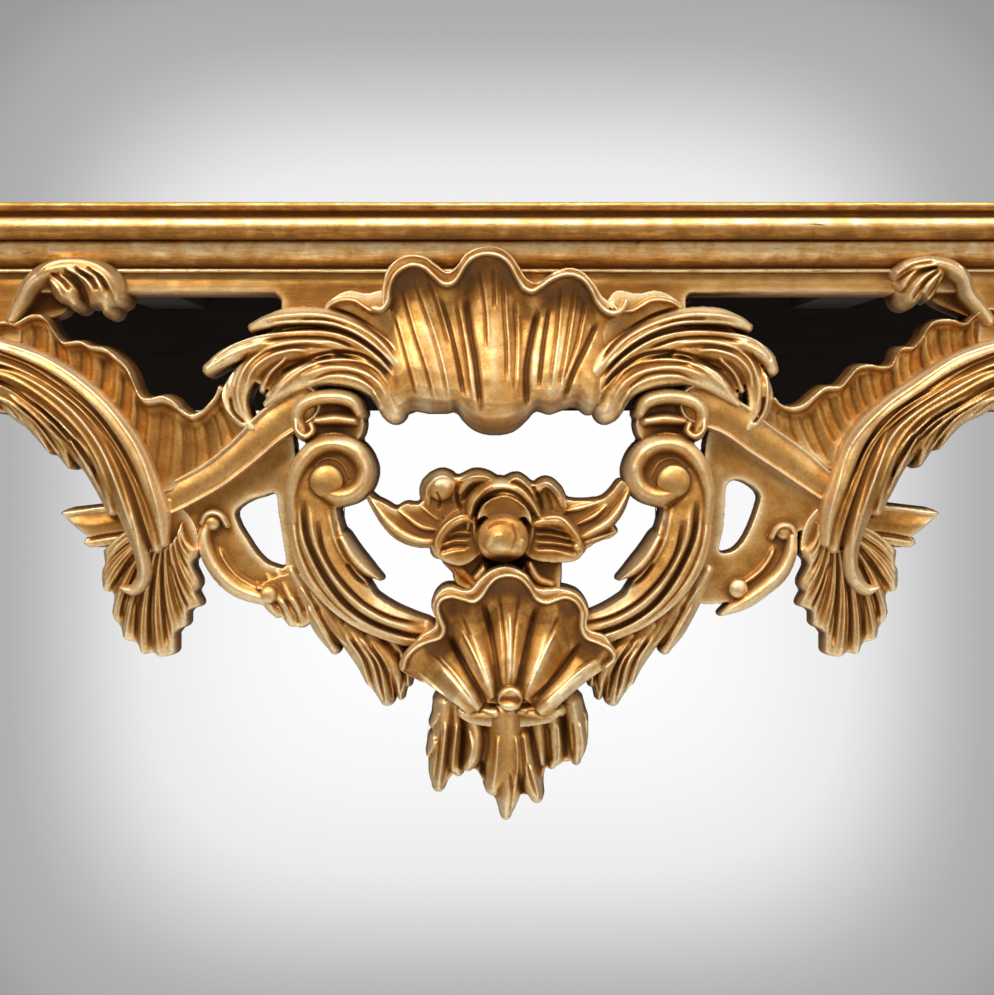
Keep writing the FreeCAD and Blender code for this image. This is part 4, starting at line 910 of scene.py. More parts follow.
BEVEL_EDGE = (
    385, 282, 390, 270, 397, 262, 405, 258, 414, 257, 425, 259, 436, 267, 448, 274, 458, 267, 464, 258, 471,
    253, 481, 249, 492, 248, 502, 251, 511, 258, 519, 270, 526, 280, 535, 284, 545, 280, 556, 273, 570, 270,
    582, 274, 592, 284, 600, 296,
)
SHELL_DEEP = ((465, 296, 470, 330, 476, 365, 481, 412), (538, 308, 530, 345, 526, 375, 527, 408))
SHELL_SIDE = (598, 320, 586, 346, 573, 372, 563, 402)
SHELL_MIDDLE = ((440, 296, 450, 330, 458, 364, 464, 398), (549, 306, 543, 345, 538, 390))
SHELL_FINE = (
    (400, 288, 412, 330, 426, 372, 434, 404), (412, 280, 428, 322, 440, 362, 448, 402),
    (392, 312, 404, 352, 416, 396), (478, 270, 484, 310, 486, 350), (493, 268, 494, 310),
    (502, 276, 504, 316, 506, 350, 506, 386), (560, 284, 556, 330, 548, 392), (574, 286, 568, 330, 556, 396),
    (586, 296, 576, 344, 562, 384), (514, 300, 516, 340, 514, 392), (455, 300, 464, 350, 470, 398),
    (426, 276, 438, 310, 450, 350),
)
# Beside each fine groove runs a fine ridge
SHELL_FINE_RIDGES = [tuple(v + 3.2 * (k % 2 == 0) for k, v in enumerate(line)) for line in SHELL_FINE]
SHELL_TOOLING = (
    (2.6, 4.2, *SHELL_DEEP), (2.6, 3.4, SHELL_SIDE), (1.7, 2.4, *SHELL_MIDDLE), (1.4, 1.1, *SHELL_FINE),
    (1.5, -0.9, *SHELL_FINE_RIDGES),
)
SHELL_EDGE_TOOLING = ((1.2, -2.2, BEVEL_EDGE),)
# Painted light and shade on the shell: painted shadow under the lip and along its foot, painted shade in the
# grooves and down the sides, and painted highlights on the middle flutes
SHELL_LIGHT_AND_SHADE = (
    (13, -0.42, (392, 298, 402, 284, 414, 280, 426, 284, 436, 296),
     (462, 296, 474, 278, 488, 270, 502, 276, 514, 294), (538, 306, 552, 296, 566, 290, 580, 296, 592, 312)),
    (1.8, -0.07, *SHELL_FINE), (2.4, -0.22, *SHELL_DEEP, SHELL_SIDE, *SHELL_MIDDLE),
    (6, 0.2, (424, 318, 436, 350, 448, 400), (494, 310, 493, 350, 494, 400), (564, 330, 556, 360, 550, 400)),
    (3.4, 0.16, (466, 350, 472, 400), (516, 330, 516, 380), (534, 345, 532, 390), (410, 340, 424, 396)),
    (8, -0.26, (464, 414, 478, 426, 496, 430, 514, 426, 528, 414)),
    (6, -0.16, (384, 330, 392, 370, 404, 404), (612, 330, 600, 370, 592, 404), (430, 408, 450, 408),
     (536, 406, 566, 404)),
)
shell = Carving((370, 244, 630, 436), 0.75)
shell.field(SHELL_BEVEL, 43.0)
shell.fan(UPPER_SHELL, SHELL_RISE, SHELL_FACE, sunk=True)
shell.tool(SHELL_TOOLING)
shell.stroke(rows_along(SHELL_LIP, 2.9, 0.99), crowned(0.93), SHELL_DEPTH)
shell.tool(SHELL_EDGE_TOOLING)
shell.paint_light_and_shade(SHELL_LIGHT_AND_SHADE)
shell.finish("carved_upper_shell", "upper_shell", toning=0.06)

# Crest leaves spring from both sides of the shell: long acanthus lobes that curl over, bundled ridge by
# ridge. They are carved from the boards beside the shell and glued to the front board.
CREST_FIELD = (
    (300, 318), (350, 322), (398, 360), (404, 412), (386, 420), (366, 394), (330, 386), (300, 390),
    (276, 394), (262, 386), (250, 378), (246, 360), (262, 336),
)
RIBBON_FIELD = (
    (324, 307), (336, 295), (350, 290), (366, 293), (388, 292), (404, 330), (398, 352), (370, 330),
    (344, 314),
)
CREST_LOBES = (
    ((404, 372, 11, 0.95), (384, 350, 11, 0.95), (354, 330, 11, 0.94), (322, 318, 10, 0.92),
     (290, 316, 9, 0.9), (266, 322, 7, 0.86), (252, 327, 5, 0.82)),
    ((404, 392, 12, 0.92), (386, 368, 12, 0.93), (356, 347, 12, 0.92), (322, 340, 11, 0.9),
     (286, 341, 10, 0.88), (256, 346, 10, 0.85), (226, 357, 9, 0.82), (208, 369, 7, 0.78)),
    ((330, 352, 9, 0.86), (300, 350, 10, 0.86), (270, 357, 11, 0.85), (246, 374, 12, 0.83),
     (234, 396, 13, 0.81), (240, 416, 10, 0.78), (252, 428, 5, 0.74)),
    ((394, 412, 11, 0.9), (382, 388, 14, 0.94), (356, 374, 14, 0.94), (326, 371, 13, 0.92),
     (300, 378, 12, 0.89), (280, 392, 8, 0.85), (266, 404, 4, 0.8)),
    ((262, 390, 4, 0.76), (268, 374, 5, 0.78), (284, 360, 5, 0.8)),
    ((268, 396, 4, 0.76), (286, 376, 5, 0.8), (320, 358, 5, 0.82)),
)
CREST_RIDGES = (
    (250, 327, 268, 319, 300, 315, 325, 316, 350, 323, 376, 338, 398, 362),
    (262, 328, 285, 323, 325, 323, 350, 330, 374, 345, 396, 368),
    (214, 356, 238, 342, 264, 335, 300, 332, 330, 333, 356, 342, 380, 360, 398, 382),
    (330, 344, 300, 342, 274, 347, 254, 358, 242, 375, 238, 395, 244, 420),
    (310, 351, 290, 351, 268, 358, 252, 372, 247, 388), (226, 372, 222, 390, 226, 408, 240, 424),
    (268, 402, 286, 382, 308, 367, 332, 360, 358, 361, 378, 371, 393, 390),
    (300, 377, 330, 368, 356, 370, 376, 380, 389, 398), (302, 387, 330, 377, 354, 379, 372, 389, 382, 406),
    (264, 386, 272, 372, 288, 357), (272, 392, 292, 372, 324, 355), (374, 392, 380, 402, 380, 412),
)
CREST_GROOVES = (
    (264, 333, 300, 327, 332, 328, 358, 338, 382, 356, 399, 378),
    (306, 358, 334, 352, 362, 355, 386, 372, 400, 392), (280, 373, 304, 363, 334, 356),
    (262, 342, 290, 338, 330, 339, 360, 350), (230, 396, 234, 412, 246, 424),
    (330, 308, 356, 318, 384, 340, 400, 362),
)


def straight(line):
    """A line as it is drawn."""
    return line


def crest_warp(line):
    """The right-hand crest leaf is a little shorter than the left one."""
    xs = np.interp(line[::2], (196, 230, 262, 330, 400, 410), (222, 236, 258, 322, 400, 410))
    return tuple(np.stack([xs, line[1::2]], -1).ravel())


def bent(rows, warp):
    """Rows of px, py and more, with the two pixels moved by a warp of lines."""
    return [(*warp(tuple(row[:2])), *row[2:]) for row in rows]


def bent_tooling(table, warp):
    """A table of tooling with each of its lines moved by a warp."""
    return [(half, depth, *[warp(line) for line in lines]) for half, depth, *lines in table]


CREST_TOOLING = (
    (1.7, -3.0, *CREST_RIDGES),
    (1.6, -5.0, (326, 307, 336, 302, 345, 300, 355, 301, 363, 306, 372, 311, 384, 310, 390, 302)),
    (1.7, 4.0, *CREST_GROOVES),
    (1.2, 1.6, (350, 318, 376, 334, 400, 362), (300, 319, 326, 320, 350, 327),
     (310, 364, 334, 364, 360, 366, 384, 384), (250, 352, 236, 368, 230, 386),
     (310, 382, 332, 373, 358, 375, 380, 392), (212, 362, 232, 350, 256, 341)),
)


for end, place, warp in (("left", on_front, straight), ("right", on_front_right, crest_warp)):
    leaf = Carving((196, 288, 412, 430), 0.7)
    leaf.field(bent(RIBBON_FIELD, warp), 34.0)
    leaf.field(bent(CREST_FIELD, warp), 33.0)
    for rows in CREST_LOBES:
        leaf.stroke(bent(rows, warp), crowned(0.86))
    leaf.tool(bent_tooling(CREST_TOOLING, warp))
    leaf.finish("carved_crest_leaf_" + end, "crest_leaf_" + end, place, toning=0.1)

# Small curls hang from the cornice at the outer end of each opening. Each is a stem that rises and rolls
# over, into two fat ribbed lobes on the left and one on the right. It is carved in one piece and glued on.
CURLS = {
    "left": {
        "roll": (
            (12, 318, 8, 0.8), (22, 300, 10, 0.86), (34, 282, 11, 0.92), (52, 272, 13, 0.96),
            (74, 269, 14, 1.0), (96, 273, 15, 1.0), (112, 284, 14, 0.96), (118, 298, 9, 0.88),
        ),
        "lobes": (
            ((56, 276, 13, 0.94), (64, 284, 17, 0.99), (72, 294, 16, 1.0), (77, 303, 9, 0.93)),
            ((84, 276, 15, 0.96), (98, 286, 20, 1.0), (107, 299, 19, 0.98), (109, 309, 9, 0.9)),
        ),
        "niche": ((22, 314), (26, 294), (40, 284), (56, 286), (64, 298), (62, 312), (44, 318)),
        "ridges": (
            (52, 280, 60, 288, 66, 298), (62, 274, 74, 284, 82, 294), (70, 270, 88, 280, 98, 294),
            (80, 268, 98, 278, 108, 294), (92, 268, 108, 278, 117, 294),
            (40, 276, 54, 264, 76, 261, 100, 266, 118, 280),
        ),
        "grooves": (
            (66, 270, 80, 280, 88, 296, 88, 308), (78, 268, 94, 280, 102, 292), (90, 268, 104, 278, 112, 292),
            (54, 274, 66, 282, 74, 292),
        ),
    },
    "right": {
        "roll": (
            (10, 320, 8, 0.8), (20, 308, 9, 0.84), (32, 294, 10, 0.88), (38, 278, 10, 0.92),
            (52, 268, 10, 0.96), (72, 264, 9, 1.0), (92, 267, 9, 0.98), (104, 274, 8, 0.9),
        ),
        "lobes": (((64, 272, 12, 0.94), (76, 279, 20, 0.99), (88, 287, 22, 1.0), (92, 296, 13, 0.94)),),
        "niche": ((16, 318), (24, 298), (36, 282), (54, 276), (66, 284), (64, 300), (40, 312)),
        "ridges": (
            (60, 276, 62, 290, 72, 304), (62, 272, 74, 286, 84, 304), (64, 269, 82, 280, 97, 300),
            (66, 266, 88, 272, 106, 290), (34, 276, 48, 262, 70, 257, 92, 260, 108, 270),
        ),
        "grooves": (
            (61, 274, 68, 290, 78, 305), (63, 270, 78, 282, 91, 303), (65, 267, 86, 276, 102, 296),
            (68, 263, 90, 267, 108, 280),
        ),
    },
}
# What is carved once on each side is drawn on the left
BOTH_SIDES = (("left", on_front), ("right", on_front_right))
for end, place in BOTH_SIDES:
    curl = Carving((0, 254, 128, 326), 0.7)
    curl.field(CURLS[end]["niche"], 22.0)
    curl.stroke(CURLS[end]["roll"], crowned(0.7), SHELL_DEPTH)
    for rows in CURLS[end]["lobes"]:
        curl.stroke(rows, crowned(0.6), SHELL_DEPTH)
    curl.tool(((1.7, 3.2, *CURLS[end]["grooves"]), (1.6, -2.4, *CURLS[end]["ridges"])))
    curl.finish("carved_curl_" + end, "curl_" + end, place, toning=-0.03)

# Inner scrolls are the heart of the apron: a ridged C band on each side that ends above in a round volute,
# with a hook over it, and meets the lower shell. Each was sawn from a board 46 mm thick and carved.
INNER_BAND = (
    (308, 474, 21, 0.84), (311, 500, 24, 0.88), (315, 533, 27, 0.9), (322, 556, 28, 0.9), (333, 576, 27, 0.9),
    (347, 594, 24, 0.88), (363, 610, 20, 0.86), (384, 622, 18, 0.82), (404, 630, 17, 0.76),
    (422, 634, 15, 0.62),
)
VOLUTE_RING = (
    (294, 520, 8, 0.84), (293, 492, 9, 0.88), (301, 466, 10, 0.93), (316, 449, 10, 0.97), (336, 444, 9, 1.0),
    (355, 451, 10, 1.0), (365, 468, 10, 1.0), (362, 484, 10, 0.99), (350, 494, 10, 0.98),
    (334, 495, 10, 0.97), (322, 488, 10, 0.97),
)
HOOK_BAND = (
    (303, 432, 9, 0.84), (297, 418, 8, 0.87), (302, 405, 8, 0.9), (318, 398, 8, 0.92), (338, 397, 8, 0.93),
    (353, 402, 8, 0.91), (360, 413, 6, 0.87),
)
HOOK_FIELD = ((298, 402), (330, 396), (356, 404), (364, 426), (352, 444), (310, 446), (298, 430))
HOOK_STEP = ((316, 421, 7, 0.82), (335, 419, 8, 0.86), (354, 421, 7, 0.82))
HOOK_TIP = (
    (296, 420, 4, 0.88), (298, 431, 4, 0.92), (306, 436, 4, 0.93), (313, 431, 4, 0.92), (311, 424, 4, 0.9),
)
SCROLL_TOOLING = (
    (2.6, 7.0, (303, 500, 307, 534, 317, 560, 332, 586, 350, 607, 374, 623, 404, 634, 432, 640)),
    (1.8, 4.5, (318, 520, 323, 548, 334, 570, 350, 590, 368, 606, 392, 618, 424, 626)),
    (2.4, -2.0, (310, 505, 315, 540, 326, 564, 342, 588, 360, 604, 384, 619, 416, 630)),
    (2.0, -1.6, (329, 505, 334, 535, 344, 557, 360, 576, 382, 596, 408, 609)),
    (2.2, -1.4, (291, 505, 295, 540, 304, 568, 320, 596, 342, 620, 370, 638, 400, 648)),
    (1.2, 1.6, (296, 510, 300, 545, 314, 578, 336, 606, 364, 628), (336, 520, 340, 540, 350, 556)),
)
VOLUTE_DISH = (333, 470, 38, 38.0, 0.1)
VOLUTE_LIP = (
    (313, 478, 3, 0.82), (316, 466, 3, 0.84), (328, 458, 3, 0.85), (342, 463, 3, 0.85), (350, 478, 3, 0.84),
)
VOLUTE_EYE = (327, 481, 17, 45.6, 0.5)
SCROLL_SPROUT = ((342, 538, 7, 0.86), (352, 556, 9, 0.88), (363, 568, 8, 0.86), (380, 580, 2, 0.8))
SPROUT_TOOLING = ((1.6, 4.0, (346, 562, 358, 578, 372, 588)),)
for end, place in BOTH_SIDES:
    scroll = Carving((284, 386, 446, 660), 0.7)
    scroll.field(HOOK_FIELD, 30.0)
    scroll.stroke(HOOK_STEP, crowned(0.7))
    scroll.stroke(HOOK_BAND, crowned(0.8))
    scroll.stroke(HOOK_TIP, crowned(0.8))
    scroll.stroke(INNER_BAND, crowned(0.82))
    scroll.tool(SCROLL_TOOLING)
    scroll.ball(*VOLUTE_DISH)
    scroll.stroke(VOLUTE_RING, crowned(0.84))
    scroll.stroke(VOLUTE_LIP, crowned(0.8))
    scroll.ball(*VOLUTE_EYE)
    scroll.stroke(SCROLL_SPROUT, crowned(0.7))
    scroll.tool(SPROUT_TOOLING)
    scroll.finish("carved_inner_scroll_" + end, "inner_scroll_" + end, place, toning=-0.02)

# Struts run from the crest down to the outer leaves and end in two pointed stubs beyond them. They are
# plain rounded bars with a fine rim along both edges, halved into the leaf that crosses them.
STRUTS = {
    "left": ((300, 404, 22, 0.76), (268, 428, 19, 0.76), (242, 452, 17, 0.72), (214, 474, 16, 0.68),
             (186, 490, 16, 0.62), (160, 502, 16, 0.58), (130, 510, 15, 0.54)),
    "right": ((300, 404, 22, 0.76), (268, 418, 20, 0.76), (240, 438, 19, 0.72), (205, 462, 18, 0.68),
              (178, 482, 16, 0.6), (155, 498, 14, 0.56), (130, 506, 13, 0.54)),
}
STUB = (
    (57, 513), (66, 510), (84, 508), (108, 505), (170, 500), (170, 536), (120, 532), (100, 535), (86, 538),
    (76, 531), (66, 522),
)
LOWER_STUB = (
    (80, 545), (82, 539), (96, 533), (128, 529), (150, 528), (150, 546), (128, 542), (100, 548), (86, 549),
)


def rimmed(s):
    """Section of a rounded bar with a fine raised rim on both edges."""
    return 0.96 - 0.12 * s ** 2 + 0.13 * np.exp(-((np.abs(s) - 0.86) / 0.09) ** 2)


STRUT_TOOLING = (
    (1.8, -2.0, (54, 514, 70, 513, 90, 510, 114, 507, 140, 504), (78, 545, 100, 541, 130, 536, 150, 534)),
    (6, -1.4, (66, 522, 90, 526, 120, 522, 150, 518)),
)
# The middle of the stubs is darkened along a band
STRUT_DARK_BAND = ((7, -0.16, (66, 523, 92, 524, 120, 521, 160, 515)),)
for end, place in BOTH_SIDES:
    strut = Carving((50, 384, 326, 556))
    strut.stroke(STRUTS[end], rimmed)
    strut.field(STUB, 27.0, False)
    strut.field(LOWER_STUB, 24.0, False)
    strut.tool(STRUT_TOOLING)
    strut.paint_light_and_shade(STRUT_DARK_BAND)
    strut.finish("carved_strut_" + end, "strut_" + end, place)

# Bracket scrolls fill the corner under each strut: a C of hollow section with a rolled eye at the top and
# a knob at its foot and a web that leaves a three-cornered opening. Small leaves hang below the left one.
BRACKETS = {
    "left": {
        "band": (
            (206, 524, 7, 0.58), (202, 540, 8, 0.6), (208, 560, 9, 0.6), (221, 579, 9, 0.6),
            (238, 592, 9, 0.58), (262, 600, 8, 0.56),
        ),
        "ridge": (216, 548, 222, 562, 234, 577, 250, 587, 266, 591),
        "top": (
            (200, 524, 4, 0.58), (204, 516, 4, 0.62), (212, 513, 4, 0.64), (220, 517, 4, 0.62),
            (225, 526, 4, 0.58),
        ),
        "eye": (210, 523, 9),
        "foot": (267, 596, 9),
    },
    "right": {
        "band": (
            (206, 538, 7, 0.58), (208, 556, 8, 0.6), (217, 574, 9, 0.6), (232, 588, 9, 0.6),
            (250, 601, 9, 0.57), (264, 609, 7, 0.53), (276, 616, 3, 0.48),
        ),
        "ridge": (222, 546, 230, 562, 240, 574, 254, 584, 268, 590),
        "top": (
            (203, 536, 4, 0.58), (207, 528, 4, 0.62), (215, 526, 4, 0.64), (222, 530, 4, 0.62),
            (226, 538, 4, 0.58),
        ),
        "eye": (214, 533, 8),
        "foot": (260, 590, 10),
    },
}
BRACKET_WEB = (
    (168, 502), (200, 482), (245, 452), (288, 428), (296, 500), (300, 560), (306, 600), (280, 606),
    (250, 596), (222, 572), (206, 545), (196, 532), (178, 536),
)
THREE_CORNERS = {
    "left": ((233, 514), (240, 506), (251, 500), (262, 497), (273, 495), (276, 515), (280, 540), (283, 567),
             (272, 567), (262, 562), (252, 551), (245, 540), (237, 527)),
    "right": ((238, 496), (246, 487), (259, 481), (270, 485), (272, 505), (274, 530), (278, 552), (265, 552),
              (254, 541), (246, 525), (240, 508)),
}
BRACKET_LEAVES = (
    ((252, 578, 7, 0.42), (266, 604, 7, 0.52), (275, 616, 5, 0.48)),
    ((262, 570, 9, 0.42), (280, 606, 9, 0.55), (290, 624, 6, 0.5)),
    ((272, 566, 10, 0.42), (292, 606, 9, 0.55), (299, 625, 6, 0.5)),
    ((284, 566, 8, 0.42), (303, 606, 8, 0.53), (307, 618, 6, 0.49)),
)
TUFT_FIELD = (
    (254, 590), (264, 604), (272, 617), (281, 619), (288, 628), (299, 628), (309, 624), (312, 600),
    (300, 575), (275, 578),
)
TUFT_TOOLING = (
    (1.5, 2.6, (273, 602, 280, 611, 284, 622), (284, 600, 294, 614, 298, 628), (297, 598, 304, 614)),
    (1.3, -1.4, (280, 600, 288, 613, 292, 624), (291, 598, 299, 612, 303, 624)),
)
for end, place in BOTH_SIDES:
    bracket = Carving((190, 440, 326, 640), 0.75)
    bracket.field(BRACKET_WEB, 20.0)
    if end == "left":
        bracket.field(TUFT_FIELD, 22.0)
        for rows in BRACKET_LEAVES:
            bracket.stroke(rows, crowned(0.7))
        bracket.tool(TUFT_TOOLING)
    bracket.stroke(BRACKETS[end]["band"], crowned(0.75))
    bracket.stroke(BRACKETS[end]["top"], crowned(0.75))
    bracket.tool(((2.4, -3.4, BRACKETS[end]["ridge"]),))
    bracket.ball(*BRACKETS[end]["eye"], 27.5)
    bracket.ball(*BRACKETS[end]["foot"], 27.5, 0.8)
    bracket.clear(THREE_CORNERS[end])
    bracket.finish("carved_bracket_" + end, "bracket_scroll_" + end, place, toning=0.05)

# A fringe of hanging leaves follows the outer side of each inner scroll down to the shell. Each is a tuft
# whose ribs leave the scroll and bend down to ragged points.
FRINGE_LEAVES = (
    ((290, 572, 8, 0.52), (306, 600, 11, 0.56), (322, 630, 11, 0.57), (333, 652, 6, 0.5)),
    ((306, 590, 8, 0.5), (326, 616, 10, 0.57), (342, 640, 7, 0.55), (349, 651, 4, 0.5)),
    ((328, 612, 9, 0.52), (348, 640, 11, 0.58), (362, 664, 9, 0.56), (368, 684, 5, 0.48)),
    ((346, 628, 11, 0.56), (366, 652, 14, 0.63), (380, 682, 14, 0.61), (386, 702, 8, 0.54)),
    ((368, 638, 9, 0.56), (388, 662, 11, 0.6), (398, 684, 8, 0.56), (400, 700, 4, 0.48)),
    ((388, 640, 9, 0.5), (402, 660, 8, 0.5), (407, 676, 6, 0.48), (408, 688, 3, 0.42)),
)
FRINGE_RIDGES = (
    (306, 606, 320, 630, 332, 652), (318, 610, 332, 634, 346, 648), (300, 588, 318, 616, 330, 640),
    (344, 636, 360, 660, 368, 692), (352, 636, 370, 660, 378, 694), (360, 638, 378, 664, 386, 706),
    (370, 642, 386, 668, 394, 702), (398, 656, 406, 676, 406, 690),
)
FRINGE_TOOLING = (
    (1.4, 3.0, (312, 604, 326, 630, 338, 652), (350, 640, 366, 664, 374, 698),
     (358, 642, 376, 668, 384, 704), (366, 644, 384, 670, 392, 704), (396, 652, 402, 676, 400, 696)),
    (1.4, -1.8, *FRINGE_RIDGES),
)
for end, place in BOTH_SIDES:
    fringe = Carving((288, 568, 432, 716), 0.75)
    for rows in FRINGE_LEAVES:
        fringe.stroke(rows, crowned(0.66))
    fringe.tool(FRINGE_TOOLING)
    fringe.finish("carved_fringe_" + end, "scroll_leaf_" + end, place, toning=0.04)

# The outer leaf is a long acanthus leaf that arches from the leg over the strut. Its back is a bundle of
# ridges, its inner band ends in a hook, and its lower edge is cut into serrated lobes.
OUTER_BANDS = (
    ((60, 384, 10, 0.86), (92, 410, 12, 0.88), (120, 448, 13, 0.88), (138, 486, 13, 0.86),
     (150, 522, 12, 0.84), (156, 548, 7, 0.8)),
    ((-70, 384, 12, 0.8), (-20, 386, 14, 0.86), (20, 398, 15, 0.9), (56, 422, 16, 0.92), (86, 452, 14, 0.92),
     (102, 484, 10, 0.88), (112, 510, 7, 0.84)),
    ((-74, 352, 9, 0.9), (-30, 346, 10, 0.93), (6, 350, 11, 0.95), (42, 364, 12, 0.97), (76, 386, 13, 0.97),
     (106, 414, 13, 0.97), (130, 446, 13, 0.96), (147, 482, 12, 0.94), (158, 514, 11, 0.9),
     (163, 543, 6, 0.82)),
    ((-70, 366, 12, 0.9), (-24, 364, 13, 0.95), (14, 374, 14, 0.98), (52, 396, 15, 1.0), (84, 426, 15, 1.0),
     (106, 460, 14, 1.0), (122, 496, 12, 0.98), (134, 530, 10, 0.94), (142, 558, 8, 0.9),
     (143, 578, 8, 0.88), (133, 590, 7, 0.84), (120, 588, 3, 0.78)),
)
OUTER_LOBES = (
    ((-50, 384, 8, 0.8), (-38, 398, 6, 0.74), (-30, 406, 2, 0.66)),
    ((-22, 388, 9, 0.82), (-8, 404, 8, 0.78), (2, 412, 2, 0.66)),
    ((-2, 394, 9, 0.84), (14, 412, 8, 0.8), (25, 426, 3, 0.68)),
    ((14, 402, 11, 0.86), (34, 426, 9, 0.82), (48, 452, 3, 0.7)),
    ((30, 408, 14, 0.88), (54, 434, 14, 0.85), (68, 465, 5, 0.72)),
    ((60, 430, 12, 0.88), (82, 456, 11, 0.85), (95, 481, 5, 0.72)),
    ((84, 456, 10, 0.88), (98, 476, 6, 0.82), (106, 484, 2, 0.74)),
)
OUTER_RIDGES = (
    (1.6, 1.8, (-70, 344, -20, 338, 10, 345, 48, 359, 84, 383, 114, 412, 140, 450, 154, 488, 164, 530)),
    (3.0, 3.6, (-60, 360, -20, 357, 10, 366, 46, 386, 80, 414, 104, 446, 120, 482, 134, 520, 144, 556)),
    (1.3, 2.4, (30, 366, 64, 388, 98, 418, 124, 454, 142, 492, 154, 530)),
    (1.3, 2.2, (50, 384, 84, 410, 112, 444, 132, 482, 146, 524, 152, 548)),
    (2.6, 3.2, (-50, 380, -6, 382, 30, 398, 62, 422, 90, 452, 106, 484, 114, 512)),
    (1.4, 2.2, (-30, 371, 8, 376, 44, 396, 76, 424, 98, 456, 114, 496)),
    (1.6, 2.4, (-40, 393, 0, 398, 34, 420, 58, 454), (10, 394, 36, 416, 60, 440, 70, 462)),
    (1.5, 2.2, (40, 410, 66, 436, 84, 460, 92, 478), (62, 422, 84, 446, 96, 470),
     (-10, 392, 12, 408, 24, 424)),
)
OUTER_GROOVES = (
    (1.7, 4.2, (-40, 368, 0, 366, 34, 378, 70, 402, 98, 434, 116, 468, 130, 508, 140, 545)),
    (1.6, 4.0, (-40, 375, 0, 382, 36, 404, 68, 432, 92, 464, 106, 500)),
    (1.4, 3.4, (-60, 351, -20, 347, 10, 355, 48, 372, 84, 398, 112, 430, 136, 472, 150, 516)),
    (1.4, 3.0, (20, 404, 44, 428, 62, 458), (50, 422, 72, 446, 80, 458), (76, 436, 92, 460, 98, 478)),
    (1.3, 2.6, (36, 402, 64, 430, 76, 450), (-20, 390, 6, 404, 20, 420),
     (64, 386, 96, 412, 122, 448, 140, 486)),
)
# A ridge is tooled as a groove of less than no depth
OUTER_TOOLING = OUTER_GROOVES + tuple((half, -rise, *lines) for half, rise, *lines in OUTER_RIDGES)


def outer_warp(line):
    """The right-hand leaf bulges inwards a little more at the strut."""
    xs, ys = np.array(line[::2], float), np.array(line[1::2], float)
    xs = xs + 11 * smooth_step(385, 440, ys) * (1 - smooth_step(530, 600, ys))
    lift = 6 * smooth_step(380, 440, ys) * (1 - smooth_step(440, 480, ys))
    return tuple(np.stack([xs, ys - lift], -1).ravel())


for end, place, warp in (("left", on_front, straight), ("right", on_front_right, outer_warp)):
    leaf = Carving((-90, 326, 176, 604), 0.8)
    for rows in OUTER_LOBES:
        leaf.stroke(bent(rows, warp), crowned(0.72))
    for rows in OUTER_BANDS:
        leaf.stroke(bent(rows, warp), crowned(0.8))
    leaf.tool(bent_tooling(OUTER_TOOLING, warp))
    leaf.finish("carved_outer_leaf_" + end, "outer_leaf_" + end, place)

# The rocaille border is a ruffled rim between the opening and the leaf: short flutes that run down from a
# waving lip. It is carved thin and glued behind the leaf and the strut.
BORDERS = {
    "left": (
        (-44, 352, -44, 326, 0.86), (-12, 354, -12, 324, 0.92), (6, 356, 4, 322, 0.86),
        (18, 360, 17, 323, 0.92), (32, 366, 31, 315, 0.86), (44, 372, 45, 317, 0.93),
        (54, 378, 54, 332, 0.84), (64, 386, 64, 342, 0.92), (76, 392, 80, 341, 0.86),
        (86, 400, 91, 346, 0.92), (96, 410, 104, 348, 0.84), (106, 422, 115, 355, 0.92),
        (114, 434, 125, 364, 0.86), (122, 446, 132, 376, 0.92), (130, 460, 138, 392, 0.84),
        (138, 474, 147, 399, 0.9), (150, 492, 162, 396, 0.88), (166, 492, 174, 401, 0.93),
        (180, 486, 183, 410, 0.86), (194, 478, 192, 415, 0.9), (208, 468, 201, 411, 0.86),
        (222, 456, 209, 404, 0.9), (234, 446, 215, 396, 0.86), (246, 434, 219, 386, 0.88),
    ),
    "right": (
        (-44, 352, -44, 318, 0.86), (-12, 352, -12, 310, 0.92), (10, 350, 7, 308, 0.86),
        (20, 351, 22, 312, 0.92), (30, 354, 34, 323, 0.84), (42, 358, 48, 320, 0.92),
        (54, 362, 62, 320, 0.86), (64, 368, 71, 325, 0.92), (74, 374, 78, 338, 0.84), (84, 380, 87, 347, 0.9),
        (94, 388, 100, 349, 0.92), (102, 394, 107, 364, 0.84), (110, 400, 118, 367, 0.88),
        (120, 406, 130, 365, 0.92), (130, 412, 142, 367, 0.86), (138, 420, 151, 377, 0.84),
        (146, 428, 160, 386, 0.9), (154, 438, 174, 387, 0.86), (160, 450, 184, 393, 0.9),
        (166, 470, 194, 402, 0.86), (180, 462, 204, 407, 0.9), (198, 450, 213, 407, 0.86),
        (220, 434, 220, 404, 0.88), (240, 420, 225, 398, 0.88),
    ),
}
BORDER_RISE = ((0, 0.66), (0.3, 0.7), (0.6, 0.74), (0.8, 0.74), (0.9, 0.8), (0.94, 0.98), (1, 1.0))
for end, place in BOTH_SIDES:
    border = Carving((-50, 304, 252, 500), 0.8)
    border.fan(BORDERS[end], BORDER_RISE, 44.5, bow=5)
    # A soft groove runs down each flute, short of its root and its lip
    grooves = [
        (a + (c - a) * 0.1, b + (d - b) * 0.1, (a + c) / 2 + 2, (b + d) / 2,
         c + (a - c) * 0.14, d + (b - d) * 0.14)
        for a, b, c, d, e in BORDERS[end][1:-1]
    ]
    border.tool(((1.7, 0.9, *grooves),))
    border.finish("carved_rocaille_" + end, "rocaille_border_" + end, place, toning=-0.03)

